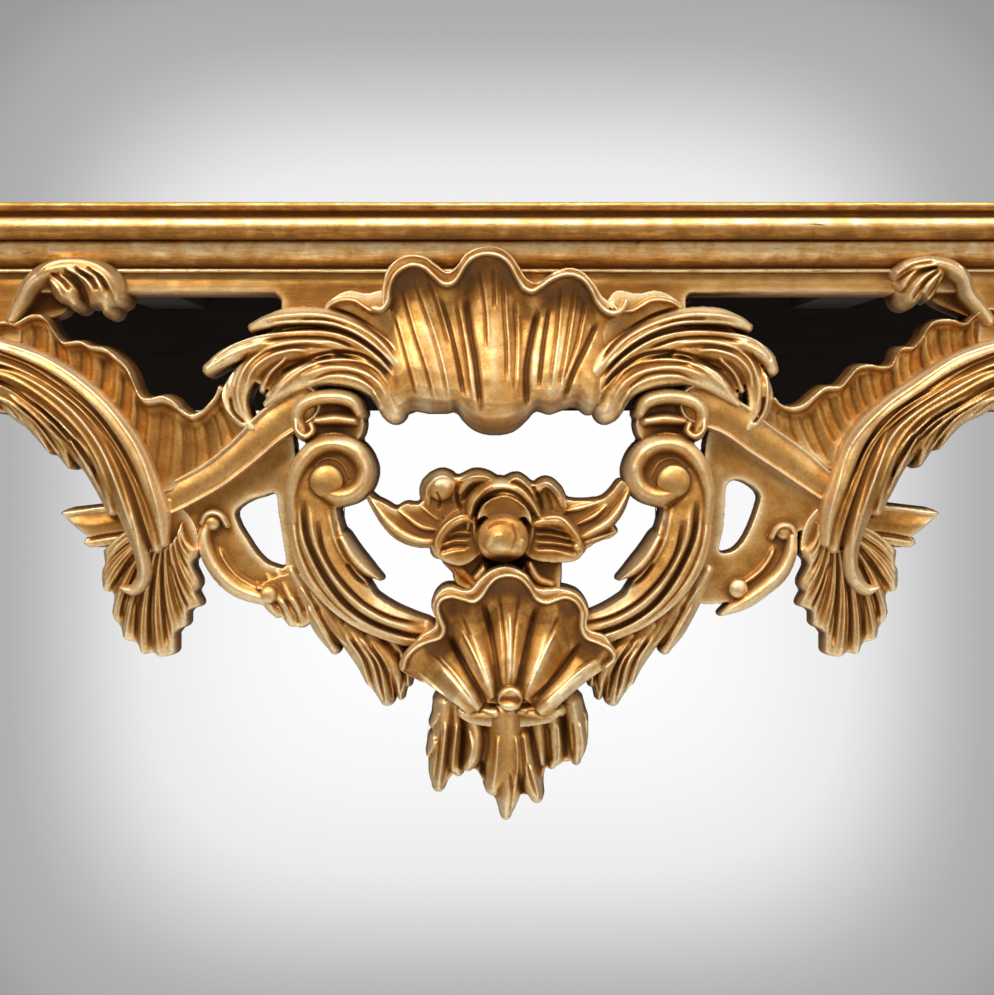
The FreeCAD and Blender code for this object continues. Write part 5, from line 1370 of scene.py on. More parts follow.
# The leaf drop is a hanging tuft below the crossing of leaf and strut. Its fine ridges spread from one
# point and end in a ragged edge.
LEAF_DROP = (
    (146, 520, 100, 552, 0.6), (145, 530, 102, 566, 0.66), (145, 534, 99, 572, 0.62),
    (145, 538, 101, 590, 0.68), (146, 542, 111, 596, 0.6), (147, 544, 110, 616, 0.67),
    (149, 546, 118, 629, 0.62), (151, 548, 122, 640, 0.69), (153, 549, 134, 645, 0.62),
    (155, 549, 140, 655, 0.7), (158, 550, 150, 654, 0.63), (160, 550, 158, 658, 0.7),
    (162, 550, 172, 654, 0.62), (164, 549, 173, 634, 0.69), (167, 547, 184, 626, 0.62),
    (169, 545, 186, 612, 0.68), (171, 543, 198, 606, 0.62), (173, 540, 193, 594, 0.67),
    (175, 536, 197, 584, 0.6), (177, 532, 190, 566, 0.66), (180, 524, 195, 552, 0.62),
)
DROP_RISE = ((0, 1.0), (0.3, 1.0), (0.7, 0.97), (0.92, 0.9), (1, 0.8))
DROP_FIELD = ((128, 520), (150, 505), (176, 506), (194, 528), (193, 560), (150, 566), (130, 548))
DROP_TOOLING = (
    (1.3, 2.4, (140, 560, 122, 600, 120, 624), (146, 562, 136, 600, 134, 640),
     (152, 562, 148, 610, 148, 648), (160, 562, 162, 610, 164, 648), (168, 560, 178, 590, 188, 612),
     (132, 560, 112, 584, 108, 594)),
)
for end, place in BOTH_SIDES:
    drop = Carving((96, 516, 204, 660), 0.75)
    drop.field(DROP_FIELD, 22.0)
    drop.fan(LEAF_DROP, DROP_RISE, lines=2, line_depth=2.4, bow=4)
    drop.tool(DROP_TOOLING)
    drop.finish("carved_leaf_drop_" + end, "leaf_drop_" + end, place)

# A scrolled ear joins the outer leaf to the leg's knee, with short flutes above it. It is glued to the
# board and dowelled to the leg.
EAR_BAND = (
    (-212, 470, 8, 0.7), (-200, 430, 14, 0.84), (-176, 390, 18, 0.9), (-140, 364, 19, 0.92),
    (-100, 352, 18, 0.92), (-66, 352, 15, 0.88),
)
EAR_FLUTES = (
    (-204, 392, -214, 350, 0.88), (-192, 376, -203, 344, 1.0), (-182, 370, -192, 342, 0.88),
    (-172, 366, -182, 335, 1.0), (-162, 362, -170, 334, 0.88), (-152, 358, -160, 328, 1.0),
    (-142, 356, -149, 330, 0.88), (-130, 354, -136, 324, 1.0), (-118, 352, -123, 327, 0.88),
    (-106, 351, -110, 322, 1.0), (-94, 350, -97, 326, 0.88), (-82, 350, -84, 322, 1.0),
    (-68, 351, -70, 327, 0.88), (-54, 352, -56, 323, 1.0), (-40, 352, -44, 327, 0.9),
)
FLUTE_RISE = ((0, 0.84), (0.3, 0.85), (0.75, 0.86), (0.9, 0.92), (0.95, 0.99), (1, 1.0))
FLUTE_DEPTH = 44.0
for end, place in BOTH_SIDES:
    ear = Carving((-222, 316, -40, 484), 1.1)
    ear.fan(EAR_FLUTES, FLUTE_RISE, FLUTE_DEPTH)
    ear.stroke(EAR_BAND, ridged(3, 0.09, 0.84))
    ear.finish("carved_ear_" + end, "leg_ear_" + end, place)

# The flower is an open rose over the lower shell: ruffled petals round a smooth ball under a hooded petal,
# with a leafy spray that reaches to the scroll on each side.
PETAL_FIELDS = (
    (((450, 520), (428, 508), (423, 490), (432, 476), (444, 471), (456, 477), (468, 473), (480, 472),
      (492, 477), (508, 482), (516, 474), (524, 477), (534, 484), (546, 479), (556, 486), (566, 500),
      (562, 516), (520, 522)), 33.0),
    (((460, 508), (444, 518), (434, 534), (431, 548), (440, 560), (462, 566), (480, 552), (476, 520)), 35.0),
    (((538, 514), (560, 514), (572, 526), (584, 546), (578, 560), (556, 563), (528, 556), (526, 520)), 35.0),
    (((366, 496), (378, 500), (388, 505), (396, 509), (404, 504), (418, 504), (426, 500), (440, 510),
      (446, 546), (430, 548), (408, 545), (392, 537), (380, 523), (370, 507)), 33.0),
    (((622, 480), (632, 490), (628, 502), (621, 515), (612, 524), (618, 531), (611, 539), (598, 541),
      (590, 548), (576, 548), (560, 520), (556, 496), (570, 500), (586, 501), (602, 499), (612, 491)), 31.0),
    (((448, 558), (478, 552), (530, 552), (558, 556), (561, 584), (550, 592), (466, 590), (452, 572)), 26.0),
)
BACK_PETALS = (
    ((428, 504, 8, 0.74), (430, 488, 10, 0.82), (442, 480, 10, 0.86), (452, 486, 8, 0.82),
     (454, 500, 8, 0.74)),
    ((460, 492, 8, 0.78), (472, 480, 9, 0.84), (486, 480, 8, 0.84), (496, 486, 6, 0.8)),
    ((506, 484, 5, 0.82), (516, 480, 6, 0.86), (528, 488, 6, 0.84), (536, 500, 6, 0.8)),
    ((536, 492, 7, 0.78), (546, 485, 7, 0.82), (556, 492, 7, 0.8), (562, 506, 7, 0.74)),
)
SIDE_PETALS = (
    ((438, 552, 8, 0.8), (440, 538, 9, 0.86), (450, 526, 9, 0.88), (464, 519, 8, 0.88), (474, 522, 6, 0.84)),
    ((532, 524, 7, 0.86), (546, 521, 9, 0.9), (562, 523, 9, 0.9), (574, 534, 9, 0.88), (578, 548, 9, 0.84)),
    ((450, 560, 9, 0.62), (462, 572, 9, 0.64), (474, 584, 8, 0.62)), ((486, 566, 7, 0.7), (476, 578, 6, 0.7)),
    ((530, 564, 6, 0.74), (538, 578, 7, 0.72), (552, 584, 6, 0.68)),
)
PETAL_LINES = (
    (1.4, 2.8, (426, 498, 428, 486, 436, 478, 445, 476, 452, 480), (458, 482, 470, 477, 484, 476, 494, 480),
     (505, 484, 516, 478, 526, 484, 536, 497), (535, 486, 546, 482, 556, 489, 564, 500)),
    (1.6, 3.4, (435, 550, 437, 538, 446, 524, 458, 516, 470, 514), (539, 517, 560, 517, 573, 530, 583, 546)),
    (1.3, 1.8, (440, 556, 452, 552, 468, 550), (440, 546, 454, 541, 470, 541), (448, 536, 458, 532, 472, 533),
     (534, 527, 552, 528, 568, 533), (534, 534, 552, 535, 574, 540), (534, 542, 554, 543, 580, 547),
     (534, 551, 554, 551, 576, 556)),
)
PETAL_GROOVES = (
    (1.5, 3.4, (456, 484, 457, 498, 462, 512), (500, 486, 492, 484), (531, 486, 540, 500, 542, 514)),
    (1.2, 1.8, (440, 550, 454, 546, 470, 546), (446, 540, 456, 537, 472, 537), (534, 530, 552, 531, 570, 536),
     (534, 538, 552, 539, 577, 543), (534, 547, 554, 547, 580, 552), (436, 490, 440, 500, 438, 510),
     (472, 484, 468, 494, 460, 502), (546, 492, 550, 502, 552, 512)),
)
SPRAYS = (
    ((440, 541, 7, 0.76), (420, 541, 8, 0.82), (402, 534, 9, 0.84), (388, 522, 8, 0.82), (377, 508, 6, 0.78),
     (369, 496, 3, 0.72)),
    ((436, 530, 5, 0.76), (420, 526, 6, 0.8), (406, 516, 5, 0.78), (398, 510, 2, 0.74)),
    ((438, 520, 5, 0.74), (428, 512, 5, 0.76), (420, 506, 2, 0.72)),
    ((576, 540, 7, 0.76), (592, 532, 8, 0.82), (608, 522, 8, 0.84), (619, 509, 7, 0.82), (626, 496, 5, 0.78),
     (630, 488, 3, 0.72)),
    ((578, 545, 5, 0.72), (598, 538, 5, 0.76), (616, 532, 3, 0.7)),
    ((564, 512, 6, 0.7), (580, 508, 6, 0.74), (598, 503, 4, 0.7)),
    ((578, 524, 5, 0.72), (594, 516, 6, 0.74), (606, 506, 4, 0.7)),
)
SIDE_BUD = (441, 487, 14, 40.5, 0.8)
HOOD_LIP = (
    (468, 528, 4, 0.84), (470, 512, 6, 0.88), (474, 500, 7, 0.92), (484, 491, 8, 0.95), (500, 487, 9, 0.97),
    (518, 492, 8, 0.95), (530, 503, 7, 0.92), (539, 516, 5, 0.86),
)
HOOD_FIELD = (
    (477, 520), (480, 508), (490, 499), (504, 495), (518, 500), (530, 512), (531, 524), (524, 517),
    (514, 520), (503, 515), (492, 519), (484, 516),
)
HOOD_TOOLING = (
    (1.8, -2.6, (481, 511, 487, 501, 499, 495, 510, 495, 520, 501, 530, 514)),
    (1.3, -1.8, (470, 516, 474, 502, 484, 490, 494, 484), (512, 484, 522, 490, 532, 502, 541, 518)),
    (1.6, 3.0, (476, 518, 480, 504, 490, 494, 504, 490, 518, 495, 532, 511)),
)
BUD_CHEEKS = (
    ((474, 518, 6, 0.82), (475, 534, 6, 0.84), (480, 552, 6, 0.82)),
    ((533, 518, 6, 0.82), (532, 534, 6, 0.84), (527, 552, 6, 0.82)),
)
MIDDLE_BUD = (503, 538, 26, 50.6, 0.72)
BUD_TOOLING = (
    (7, 16.0, (484, 567, 498, 562, 512, 562, 524, 567)),
    (1.2, 0.8, (486, 528, 496, 522, 508, 522), (512, 522, 516, 536, 510, 552),
     (480, 540, 490, 552, 502, 556)),
    (2.4, -1.0, (486, 546, 494, 536, 504, 534), (520, 546, 524, 538)),
)
# Painted shade round the ball and under the hood, painted highlights on the ball and the side bud, and
# painted shade between the petals
FLOWER_LIGHT_AND_SHADE = (
    (3, -0.2, (482, 530, 494, 523, 508, 524, 522, 530), (484, 552, 496, 560, 512, 560, 522, 552)),
    (4, -0.2, (482, 518, 504, 514, 526, 518), (482, 562, 504, 560, 526, 562)),
    (6, 0.22, (486, 540, 498, 544, 508, 548), (434, 482, 442, 480, 452, 484)),
    (7, -0.16, (462, 492, 484, 490, 500, 500), (540, 500, 552, 500), (484, 508, 504, 504, 524, 510),
     (446, 540, 466, 534), (538, 532, 570, 544), (462, 574, 470, 584), (540, 570, 556, 574)),
)
flower = Carving((364, 466, 640, 600), 0.7)
for outline, top in PETAL_FIELDS:
    flower.field(outline, top)
for rows in SPRAYS + BACK_PETALS + SIDE_PETALS:
    flower.stroke(rows, crowned(0.72))
flower.ball(*SIDE_BUD)
flower.tool(PETAL_GROOVES)
flower.tool([(half, -rise, *lines) for half, rise, *lines in PETAL_LINES])
flower.stroke(HOOD_LIP, crowned(0.82))
flower.field(HOOD_FIELD, 43.5)
flower.tool(HOOD_TOOLING)
for rows in BUD_CHEEKS:
    flower.stroke(rows, crowned(0.7))
flower.ball(*MIDDLE_BUD)
flower.tool(BUD_TOOLING)
flower.paint_light_and_shade(FLOWER_LIGHT_AND_SHADE)
flower.finish("carved_flower", "flower", toning=-0.06)

# The lower shell closes the apron below the flower. It is a smaller scallop that opens upwards from a
# hinge knob, with its lip turned forward.
LOWER_SHELL = (
    (474, 716, 402, 668, 0.86), (477, 712, 408, 653, 0.92), (479, 708, 420, 643, 1.0),
    (482, 705, 434, 638, 0.95), (485, 702, 443, 629, 0.86), (487, 700, 441, 614, 0.92),
    (489, 698, 437, 603, 0.95), (491, 697, 446, 595, 0.98), (493, 696, 458, 597, 1.0),
    (496, 695, 470, 600, 0.95), (498, 694, 482, 594, 0.86), (501, 693, 490, 583, 0.92),
    (504, 692, 499, 576, 0.97), (508, 692, 509, 574, 1.0), (512, 692, 520, 578, 0.97),
    (515, 693, 530, 588, 0.92), (518, 694, 538, 598, 0.86), (521, 695, 549, 600, 0.95),
    (524, 697, 560, 597, 1.0), (527, 699, 571, 599, 0.98), (529, 701, 579, 610, 0.94),
    (531, 703, 582, 626, 0.9), (533, 705, 584, 637, 0.86), (536, 708, 596, 642, 0.95),
    (539, 711, 607, 648, 1.0), (541, 714, 614, 657, 0.95), (543, 717, 602, 670, 0.86),
)
LOWER_HOLLOW = (
    (0, 0.86), (0.15, 0.92), (0.3, 0.9), (0.48, 0.8), (0.62, 0.73), (0.75, 0.72), (0.87, 0.77), (0.95, 0.84),
    (1, 0.89),
)
LOWER_BEVEL = (
    (400, 662), (420, 636), (436, 624), (432, 608), (438, 592), (450, 586), (468, 590), (480, 578),
    (494, 568), (510, 566), (526, 574), (538, 588), (560, 588), (578, 594), (588, 610), (588, 628),
    (606, 636), (614, 656), (600, 672), (540, 700), (470, 700), (410, 676),
)
LOWER_LIP = (
    404, 666, 407, 656, 416, 646, 428, 640, 440, 636, 444, 628, 440, 616, 438, 606, 442, 598, 452, 595, 464,
    598, 474, 600, 482, 594, 488, 585, 496, 577, 508, 574, 520, 577, 529, 586, 536, 597, 546, 601, 556, 598,
    566, 596, 576, 601, 581, 612, 581, 626, 586, 636, 598, 641, 610, 648, 613, 657, 605, 665,
)
LOWER_FLUTES = (
    (430, 654, 452, 676, 478, 702), (468, 624, 480, 654, 496, 690), (511, 610, 511, 645, 512, 682),
    (556, 628, 542, 656, 528, 690), (602, 658, 574, 678, 544, 704),
)
# Painted shadow under the lip, and painted highlights along the flutes
LOWER_LIGHT_AND_SHADE = (
    (10, -0.38, (424, 652, 440, 648, 452, 652), (446, 612, 458, 606, 472, 610),
     (488, 600, 498, 588, 510, 586, 522, 592, 530, 604), (556, 608, 568, 606, 576, 616),
     (574, 650, 590, 648, 602, 654)),
    (4.5, 0.2, *LOWER_FLUTES),
)
LOWER_TOOLING = (
    (2.2, 3.6, (446, 634, 466, 666, 486, 700), (483, 602, 494, 645, 500, 690),
     (537, 606, 526, 648, 516, 690), (582, 642, 558, 674, 530, 700)),
    (1.2, 1.4, (430, 650, 452, 674, 476, 704), (460, 612, 478, 655, 492, 692),
     (498, 590, 504, 640, 506, 684), (520, 590, 514, 640, 511, 684), (560, 612, 542, 654, 524, 690),
     (594, 656, 566, 680, 538, 704)),
    (2.0, -1.4, (438, 656, 456, 674, 474, 698), (462, 630, 478, 660, 493, 692),
     (510, 612, 511, 645, 511, 680), (556, 630, 540, 658, 526, 690), (602, 658, 572, 676, 542, 702),
     (416, 672, 440, 694, 462, 714)),
)
HINGE_FIELD = ((462, 704), (508, 694), (556, 704), (552, 722), (508, 728), (466, 722))
HINGE_LEAVES = (
    ((463, 713, 7, 0.82), (478, 712, 9, 0.87), (496, 712, 8, 0.9)),
    ((520, 710, 8, 0.89), (540, 712, 9, 0.88), (560, 711, 7, 0.82)),
)
HINGE_TOOLING = ((1.4, 1.7, (468, 715, 480, 711, 494, 716), (522, 715, 532, 710, 544, 716, 556, 711)),)
HINGE_KNOB = (510, 697, 13, 49.0, 0.7)
KNOB_TOOLING = (
    (4.5, 3.4, (496, 699, 505, 698, 514, 698, 524, 700)),
    (1.8, -1.8, (498, 703, 501, 692, 510, 687, 519, 692, 522, 703)),
)
# Painted shade in the groove across the knob
KNOB_PAINTED_SHADE = ((4, -0.3, (496, 699, 505, 698, 514, 698, 524, 700)),)
lower = Carving((394, 560, 620, 730), 0.7)
lower.field(LOWER_BEVEL, 40.0)
lower.fan(LOWER_SHELL, LOWER_HOLLOW, SHELL_FACE, sunk=True)
lower.stroke(rows_along(LOWER_LIP, 2.5, 0.99), crowned(0.93), SHELL_DEPTH)
lower.paint_light_and_shade(LOWER_LIGHT_AND_SHADE)
lower.tool(LOWER_TOOLING)
lower.field(HINGE_FIELD, 36.0)
for rows in HINGE_LEAVES:
    lower.stroke(rows, crowned(0.8))
lower.tool(HINGE_TOOLING)
lower.ball(*HINGE_KNOB)
lower.tool(KNOB_TOOLING)
lower.paint_light_and_shade(KNOB_PAINTED_SHADE)
lower.finish("carved_lower_shell", "lower_shell", toning=0.04)

# Leaves hang from the lower shell as the lowest point of the apron: a long plain middle leaf between two
# short tongues, with ribbed leaves outside them.
PENDANT_LEAVES = (
    ((446, 706, 14, 0.68), (444, 730, 12, 0.7), (441, 755, 12, 0.68), (439, 776, 11, 0.66),
     (438, 789, 7, 0.6)),
    ((456, 708, 10, 0.68), (456, 735, 9, 0.7), (453, 762, 10, 0.67), (458, 774, 6, 0.62)),
    ((434, 740, 6, 0.66), (428, 757, 3, 0.6)), ((440, 716, 8, 0.66), (432, 727, 4, 0.6)),
    ((572, 706, 12, 0.7), (576, 728, 11, 0.7), (578, 748, 10, 0.68), (577, 764, 5, 0.6)),
    ((552, 712, 12, 0.7), (554, 738, 11, 0.7), (556, 758, 10, 0.66), (552, 768, 5, 0.6)),
    ((470, 712, 10, 0.76), (476, 736, 11, 0.8), (474, 756, 10, 0.8), (468, 768, 6, 0.74)),
    ((536, 716, 13, 0.74), (540, 744, 9, 0.74), (542, 764, 5, 0.68)),
    ((506, 714, 22, 0.88), (506, 742, 23, 0.9), (504, 768, 22, 0.88), (494, 788, 10, 0.82)),
    ((506, 760, 18, 0.88), (508, 790, 14, 0.84), (507, 806, 10, 0.79), (506, 817, 6, 0.72)),
    ((520, 740, 14, 0.84), (526, 768, 13, 0.84), (533, 788, 10, 0.81), (537, 799, 7, 0.75)),
)
PENDANT_FIELD = (
    (438, 712), (470, 708), (560, 708), (586, 714), (588, 748), (578, 762), (560, 766), (546, 772),
    (540, 796), (520, 798), (500, 806), (482, 782), (474, 772), (455, 776), (444, 786), (434, 776),
    (430, 752),
)
PENDANT_TOOLING = (
    (1.8, 2.6, (521, 730, 524, 768, 520, 796), (488, 728, 486, 756, 480, 782),
     (562, 716, 565, 740, 566, 762), (531, 728, 534, 756, 540, 780), (464, 724, 462, 750, 460, 772)),
    (1.3, 1.8, (450, 726, 448, 756, 442, 786), (440, 730, 438, 756, 434, 782),
     (510, 770, 512, 796, 510, 812), (526, 760, 532, 782, 538, 798), (572, 722, 574, 744, 574, 760),
     (549, 728, 550, 748, 552, 764)),
    (1.5, -2.4, (446, 722, 443, 752, 438, 788), (457, 724, 454, 752, 452, 776), (436, 742, 430, 756),
     (498, 734, 496, 766, 492, 788), (516, 734, 518, 766, 514, 794), (530, 764, 536, 784, 539, 800),
     (558, 724, 560, 746, 558, 766), (580, 722, 584, 744, 583, 760), (468, 728, 472, 748, 468, 764)),
)
pendant = Carving((422, 700, 592, 830), 0.7)
pendant.field(PENDANT_FIELD, 24.0)
for rows in PENDANT_LEAVES:
    pendant.stroke(rows, crowned(0.7))
pendant.tool(PENDANT_TOOLING)
pendant.finish("carved_pendant", "pendant_leaves", toning=0.03)

# The side aprons are simpler: on each side two channelled scrolls rise from the legs to a small shell
# under the rail, with a leaf hanging below it.
SIDE_SCROLL = (
    (246, 444, 8, 0.7), (232, 406, 15, 0.84), (200, 378, 18, 0.9), (156, 366, 18, 0.92), (112, 376, 17, 0.92),
    (76, 404, 15, 0.9), (54, 438, 13, 0.86), (30, 466, 12, 0.82), (0, 476, 12, 0.8),
)
SIDE_FLUTES = (
    (208, 380, 214, 338, 0.9), (196, 374, 201, 330, 1.0), (184, 370, 187, 334, 0.9),
    (172, 368, 174, 327, 1.0), (160, 368, 160, 332, 0.9), (148, 370, 147, 326, 1.0),
    (136, 374, 133, 331, 0.9), (124, 380, 119, 326, 1.0), (112, 388, 105, 332, 0.9), (100, 396, 92, 328, 1.0),
)
SIDE_SHELL_HALF = (
    (0, 428, 0, 328, 0.88), (5, 429, 22, 336, 1.0), (8, 431, 36, 356, 0.88), (11, 434, 52, 352, 1.0),
    (13, 437, 66, 366, 0.88), (15, 441, 74, 394, 1.0), (16, 446, 62, 420, 0.86),
)
SIDE_SHELL = [(-a, b, -c, d, e) for a, b, c, d, e in SIDE_SHELL_HALF[:0:-1]] + list(SIDE_SHELL_HALF)
SIDE_SHELL_RISE = (
    (0, 0.86), (0.15, 0.9), (0.35, 0.88), (0.55, 0.8), (0.72, 0.68), (0.86, 0.58), (0.92, 0.58), (0.94, 0.72),
    (0.955, 0.95), (0.97, 1.0), (1, 0.98),
)
SIDE_LEAVES = (
    (((0, 456, 14, 0.86), (0, 490, 17, 0.84), (0, 522, 12, 0.78), (0, 549, 2, 0.64)), ridged(4, 0.09, 0.76)),
    (((20, 458, 10, 0.78), (30, 488, 9, 0.74), (33, 514, 2, 0.6)), ridged(3, 0.09, 0.78)),
    (((-20, 458, 10, 0.78), (-30, 488, 9, 0.74), (-33, 514, 2, 0.6)), ridged(3, 0.09, 0.78)),
)
RAIL_THICK = 30.0


def side_place(side):
    """Points of a side's carving: px runs from the middle of the side towards the wall."""
    def place(px, py, height):
        x = side * (frame_half_width - (RAIL_THICK - height) * MM)
        return np.stack([x, side_middle_y + px * PX * MM, table_height - (py - PHOTO_TOP) * PX * MM], -1)
    return place


SIDE_KNOB = (0, 436, 10, 48.0, 0.9)
for end, side in ENDS:
    wing = Carving((-256, 320, 256, 490), 1.3)
    for turn in (-1, 1):
        flutes = [(turn * a, b, turn * c, d, e) for a, b, c, d, e in SIDE_FLUTES]
        wing.fan(flutes, FLUTE_RISE, FLUTE_DEPTH, bow=4 * turn)
        wing.stroke([(turn * row[0], *row[1:]) for row in SIDE_SCROLL], ridged(3, 0.09, 0.84))
    wing.finish("carved_side_apron_" + end, "side_apron_" + end, side_place(side))
    scallop = Carving((-76, 326, 76, 552), 1.1)
    for rows, section in SIDE_LEAVES:
        scallop.stroke(rows, section)
    scallop.fan(SIDE_SHELL, SIDE_SHELL_RISE, SHELL_DEPTH, lines=1, line_depth=0.8)
    scallop.ball(*SIDE_KNOB)
    scallop.finish("carved_side_shell_" + end, "side_shell_" + end, side_place(side))

# Iron wood screws hold the top and the carving from behind, and wooden pegs lock the tenons. The screws are
# countersunk with a filed slot, and their bright cut has gone brown.
screw_iron, screw_shader = new_material("browned_iron")
screw_shader.inputs["Base Color"].default_value = linear("#3A2E26")
screw_shader.inputs["Metallic"].default_value = 0.9
screw_shader.inputs["Roughness"].default_value = 0.55


def repeat_on_points(name, spots, body, material, turn=(0, 0, 0)):
    """Copies of a small body on points, made by Geometry Nodes and turned into one plain mesh."""
    base = bpy.data.meshes.new(name + "_points")
    base.from_pydata([tuple(spot) for spot in spots], [], [])
    carrier = bpy.data.objects.new(name, base)
    bpy.context.scene.collection.objects.link(carrier)
    tree = bpy.data.node_groups.new(name + "_tree", "GeometryNodeTree")
    tree.interface.new_socket("Geometry", in_out="INPUT", socket_type="NodeSocketGeometry")
    size_socket = tree.interface.new_socket("Size", in_out="INPUT", socket_type="NodeSocketFloat")
    turn_socket = tree.interface.new_socket("Turn", in_out="INPUT", socket_type="NodeSocketVector")
    tree.interface.new_socket("Geometry", in_out="OUTPUT", socket_type="NodeSocketGeometry")
    source = tree.nodes.new("NodeGroupInput")
    info = tree.nodes.new("GeometryNodeObjectInfo")
    info.inputs["Object"].default_value = body
    place = tree.nodes.new("GeometryNodeInstanceOnPoints")
    realize = tree.nodes.new("GeometryNodeRealizeInstances")
    paint = tree.nodes.new("GeometryNodeSetMaterial")
    paint.inputs["Material"].default_value = material
    result = tree.nodes.new("NodeGroupOutput")
    for output, target in (
        (source.outputs["Geometry"], place.inputs["Points"]),
        (info.outputs["Geometry"], place.inputs["Instance"]),
        (source.outputs["Size"], place.inputs["Scale"]), (source.outputs["Turn"], place.inputs["Rotation"]),
        (place.outputs[0], realize.inputs[0]), (realize.outputs[0], paint.inputs[0]),
        (paint.outputs[0], result.inputs[0]),
    ):
        tree.links.new(output, target)
    repeat = carrier.modifiers.new("repeat", "NODES")
    repeat.node_group = tree
    repeat[size_socket.identifier] = 1.0
    repeat[turn_socket.identifier] = turn
    bpy.context.view_layer.update()
    whole = bpy.data.meshes.new_from_object(carrier.evaluated_get(bpy.context.evaluated_depsgraph_get()))
    carrier.modifiers.clear()
    carrier.data = whole
    return carrier


def turned_body(name, rows, sides=20):
    """A small turned body along Z from rows of radius and height, in millimetres."""
    points = [
        (r * MM * math.cos(2 * math.pi * k / sides), r * MM * math.sin(2 * math.pi * k / sides), h * MM)
        for r, h in rows for k in range(sides)
    ]
    faces = loft_faces(len(rows), sides)
    body = mesh_piece(name, points, faces, screw_iron, smooth=False)
    face_outwards(body)
    return body


def loose_parts(node):
    """Box of each separate solid in a node, as lowest and highest corners, from left to right."""
    work = bmesh.new()
    work.from_mesh(nodes[node].data)
    bmesh.ops.remove_doubles(work, verts=work.verts, dist=0.01 * MM)
    left = set(work.verts)
    boxes = []
    while left:
        stack = [left.pop()]
        found = list(stack)
        while stack:
            for edge in stack.pop().link_edges:
                for vert in edge.verts:
                    if vert in left:
                        left.discard(vert)
                        stack.append(vert)
                        found.append(vert)
        co = np.array([vert.co[:] for vert in found])
        boxes.append((co.min(0), co.max(0)))
    work.free()
    return sorted(boxes, key=lambda box: tuple(box[0]))


def slotted_screw(name, length, head, shank):
    """Countersunk screw with its head at the origin, pointing up Z, and a slot across the head."""
    body = turned_body(name, ((head, 0), (head, 0.3), (shank, 2.4), (shank, length - 3), (0.4, length)))
    half_slot, slot_reach, slot_depth, tiny = 0.5 * MM, 0.8 * head * MM, 0.8 * MM, 0.001 * MM
    work = bmesh.new()
    work.from_mesh(body.data)
    for place, across in (
        ((half_slot, 0, 0), (1, 0, 0)), ((-half_slot, 0, 0), (1, 0, 0)),
        ((0, slot_reach, 0), (0, 1, 0)), ((0, -slot_reach, 0), (0, 1, 0)),
    ):
        top = [face for face in work.faces if all(abs(corner.co.z) < tiny for corner in face.verts)]
        parts = {part for face in top for part in (face, *face.edges, *face.verts)}
        bmesh.ops.bisect_plane(work, geom=list(parts), plane_co=place, plane_no=across)
    slot = [
        face for face in work.faces if all(
            abs(v.co.z) < tiny and abs(v.co.x) < half_slot + tiny and abs(v.co.y) < slot_reach + tiny
            for v in face.verts
        )
    ]
    bmesh.ops.inset_individual(work, faces=slot, thickness=10 * tiny, depth=-slot_depth)
    work.to_mesh(body.data)
    work.free()
    return body


def hide_pattern(body):
    """The pattern body itself isn't part of the table."""
    bpy.data.objects.remove(body, do_unlink=True)


top_boxes = loose_parts("top_screws")
top_spots = [((low[0] + high[0]) / 2, (low[1] + high[1]) / 2, low[2]) for low, high in top_boxes]
# Length of each kind of screw, and the radius of its head and shank, in millimetres
TOP_SCREW, CARVING_SCREW = (30.0, 4.0, 2.0), (25.0, 4.0, 2.0)
pattern = slotted_screw("top_screw_pattern", *TOP_SCREW)
screws = repeat_on_points("top_screws_slotted", top_spots, pattern, screw_iron)
give(screws, "iron_screw", "top_screws")
hide_pattern(pattern)
back_boxes = loose_parts("carving_screws")
front_spots = [
    ((low[0] + high[0]) / 2, high[1], (low[2] + high[2]) / 2) for low, high in back_boxes
    if high[1] - low[1] > high[0] - low[0]
]
pattern = slotted_screw("carving_screw_pattern", *CARVING_SCREW)
screws = repeat_on_points("carving_screws_front", front_spots, pattern, screw_iron, (math.pi / 2, 0, 0))
give(screws, "iron_screw", "carving_screws")
for side in (-1, 1):
    spots = [
        (low[0] if side > 0 else high[0], (low[1] + high[1]) / 2, (low[2] + high[2]) / 2)
        for low, high in back_boxes if high[1] - low[1] <= high[0] - low[0] and (low[0] > 0) == (side > 0)
    ]
    screws = repeat_on_points(
        "carving_screws_side_" + ("right" if side > 0 else "left"), spots, pattern, screw_iron,
        (0, side * math.pi / 2, 0),
    )
    give(screws, "iron_screw", "carving_screws")
hide_pattern(pattern)
dress("rail_pegs", pale_wood)

# What shows as it was built rides on the table too
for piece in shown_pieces():
    if body_of(piece) is None:
        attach(piece, "root")

# The room isn't part of the table: a plain pale floor that fades into a pale surround, soft light from
# high on the left and from above, and a fill in front.
floor_material, floor_shader = new_material("pale_floor")
floor_shader.inputs["Base Color"].default_value = linear("#E4E4E3")
floor_shader.inputs["Roughness"].default_value = 0.7
floor_place = add_node(floor_material, "ShaderNodeTexCoord")
floor_away = add_node(
    floor_material, "ShaderNodeVectorMath", [(floor_place.outputs["Object"], 0)], operation="LENGTH"
)
# The floor fades into the surround, so that no horizon shows
FADE_START, FADE_END = 0.9, 1.7
floor_fade = change_range(
    floor_material, floor_away.outputs["Value"], FADE_START, FADE_END, 1.0, 0.0,
    interpolation_type="SMOOTHSTEP",
)
link(floor_material, floor_fade.outputs[0], floor_shader.inputs["Alpha"])
floor_half = 1.75
floor_corners = [(x * floor_half, y * floor_half, 0) for x, y in ((-1, -1), (1, -1), (1, 1), (-1, 1))]
floor = mesh_piece("floor", floor_corners, [(0, 1, 2, 3)], floor_material)


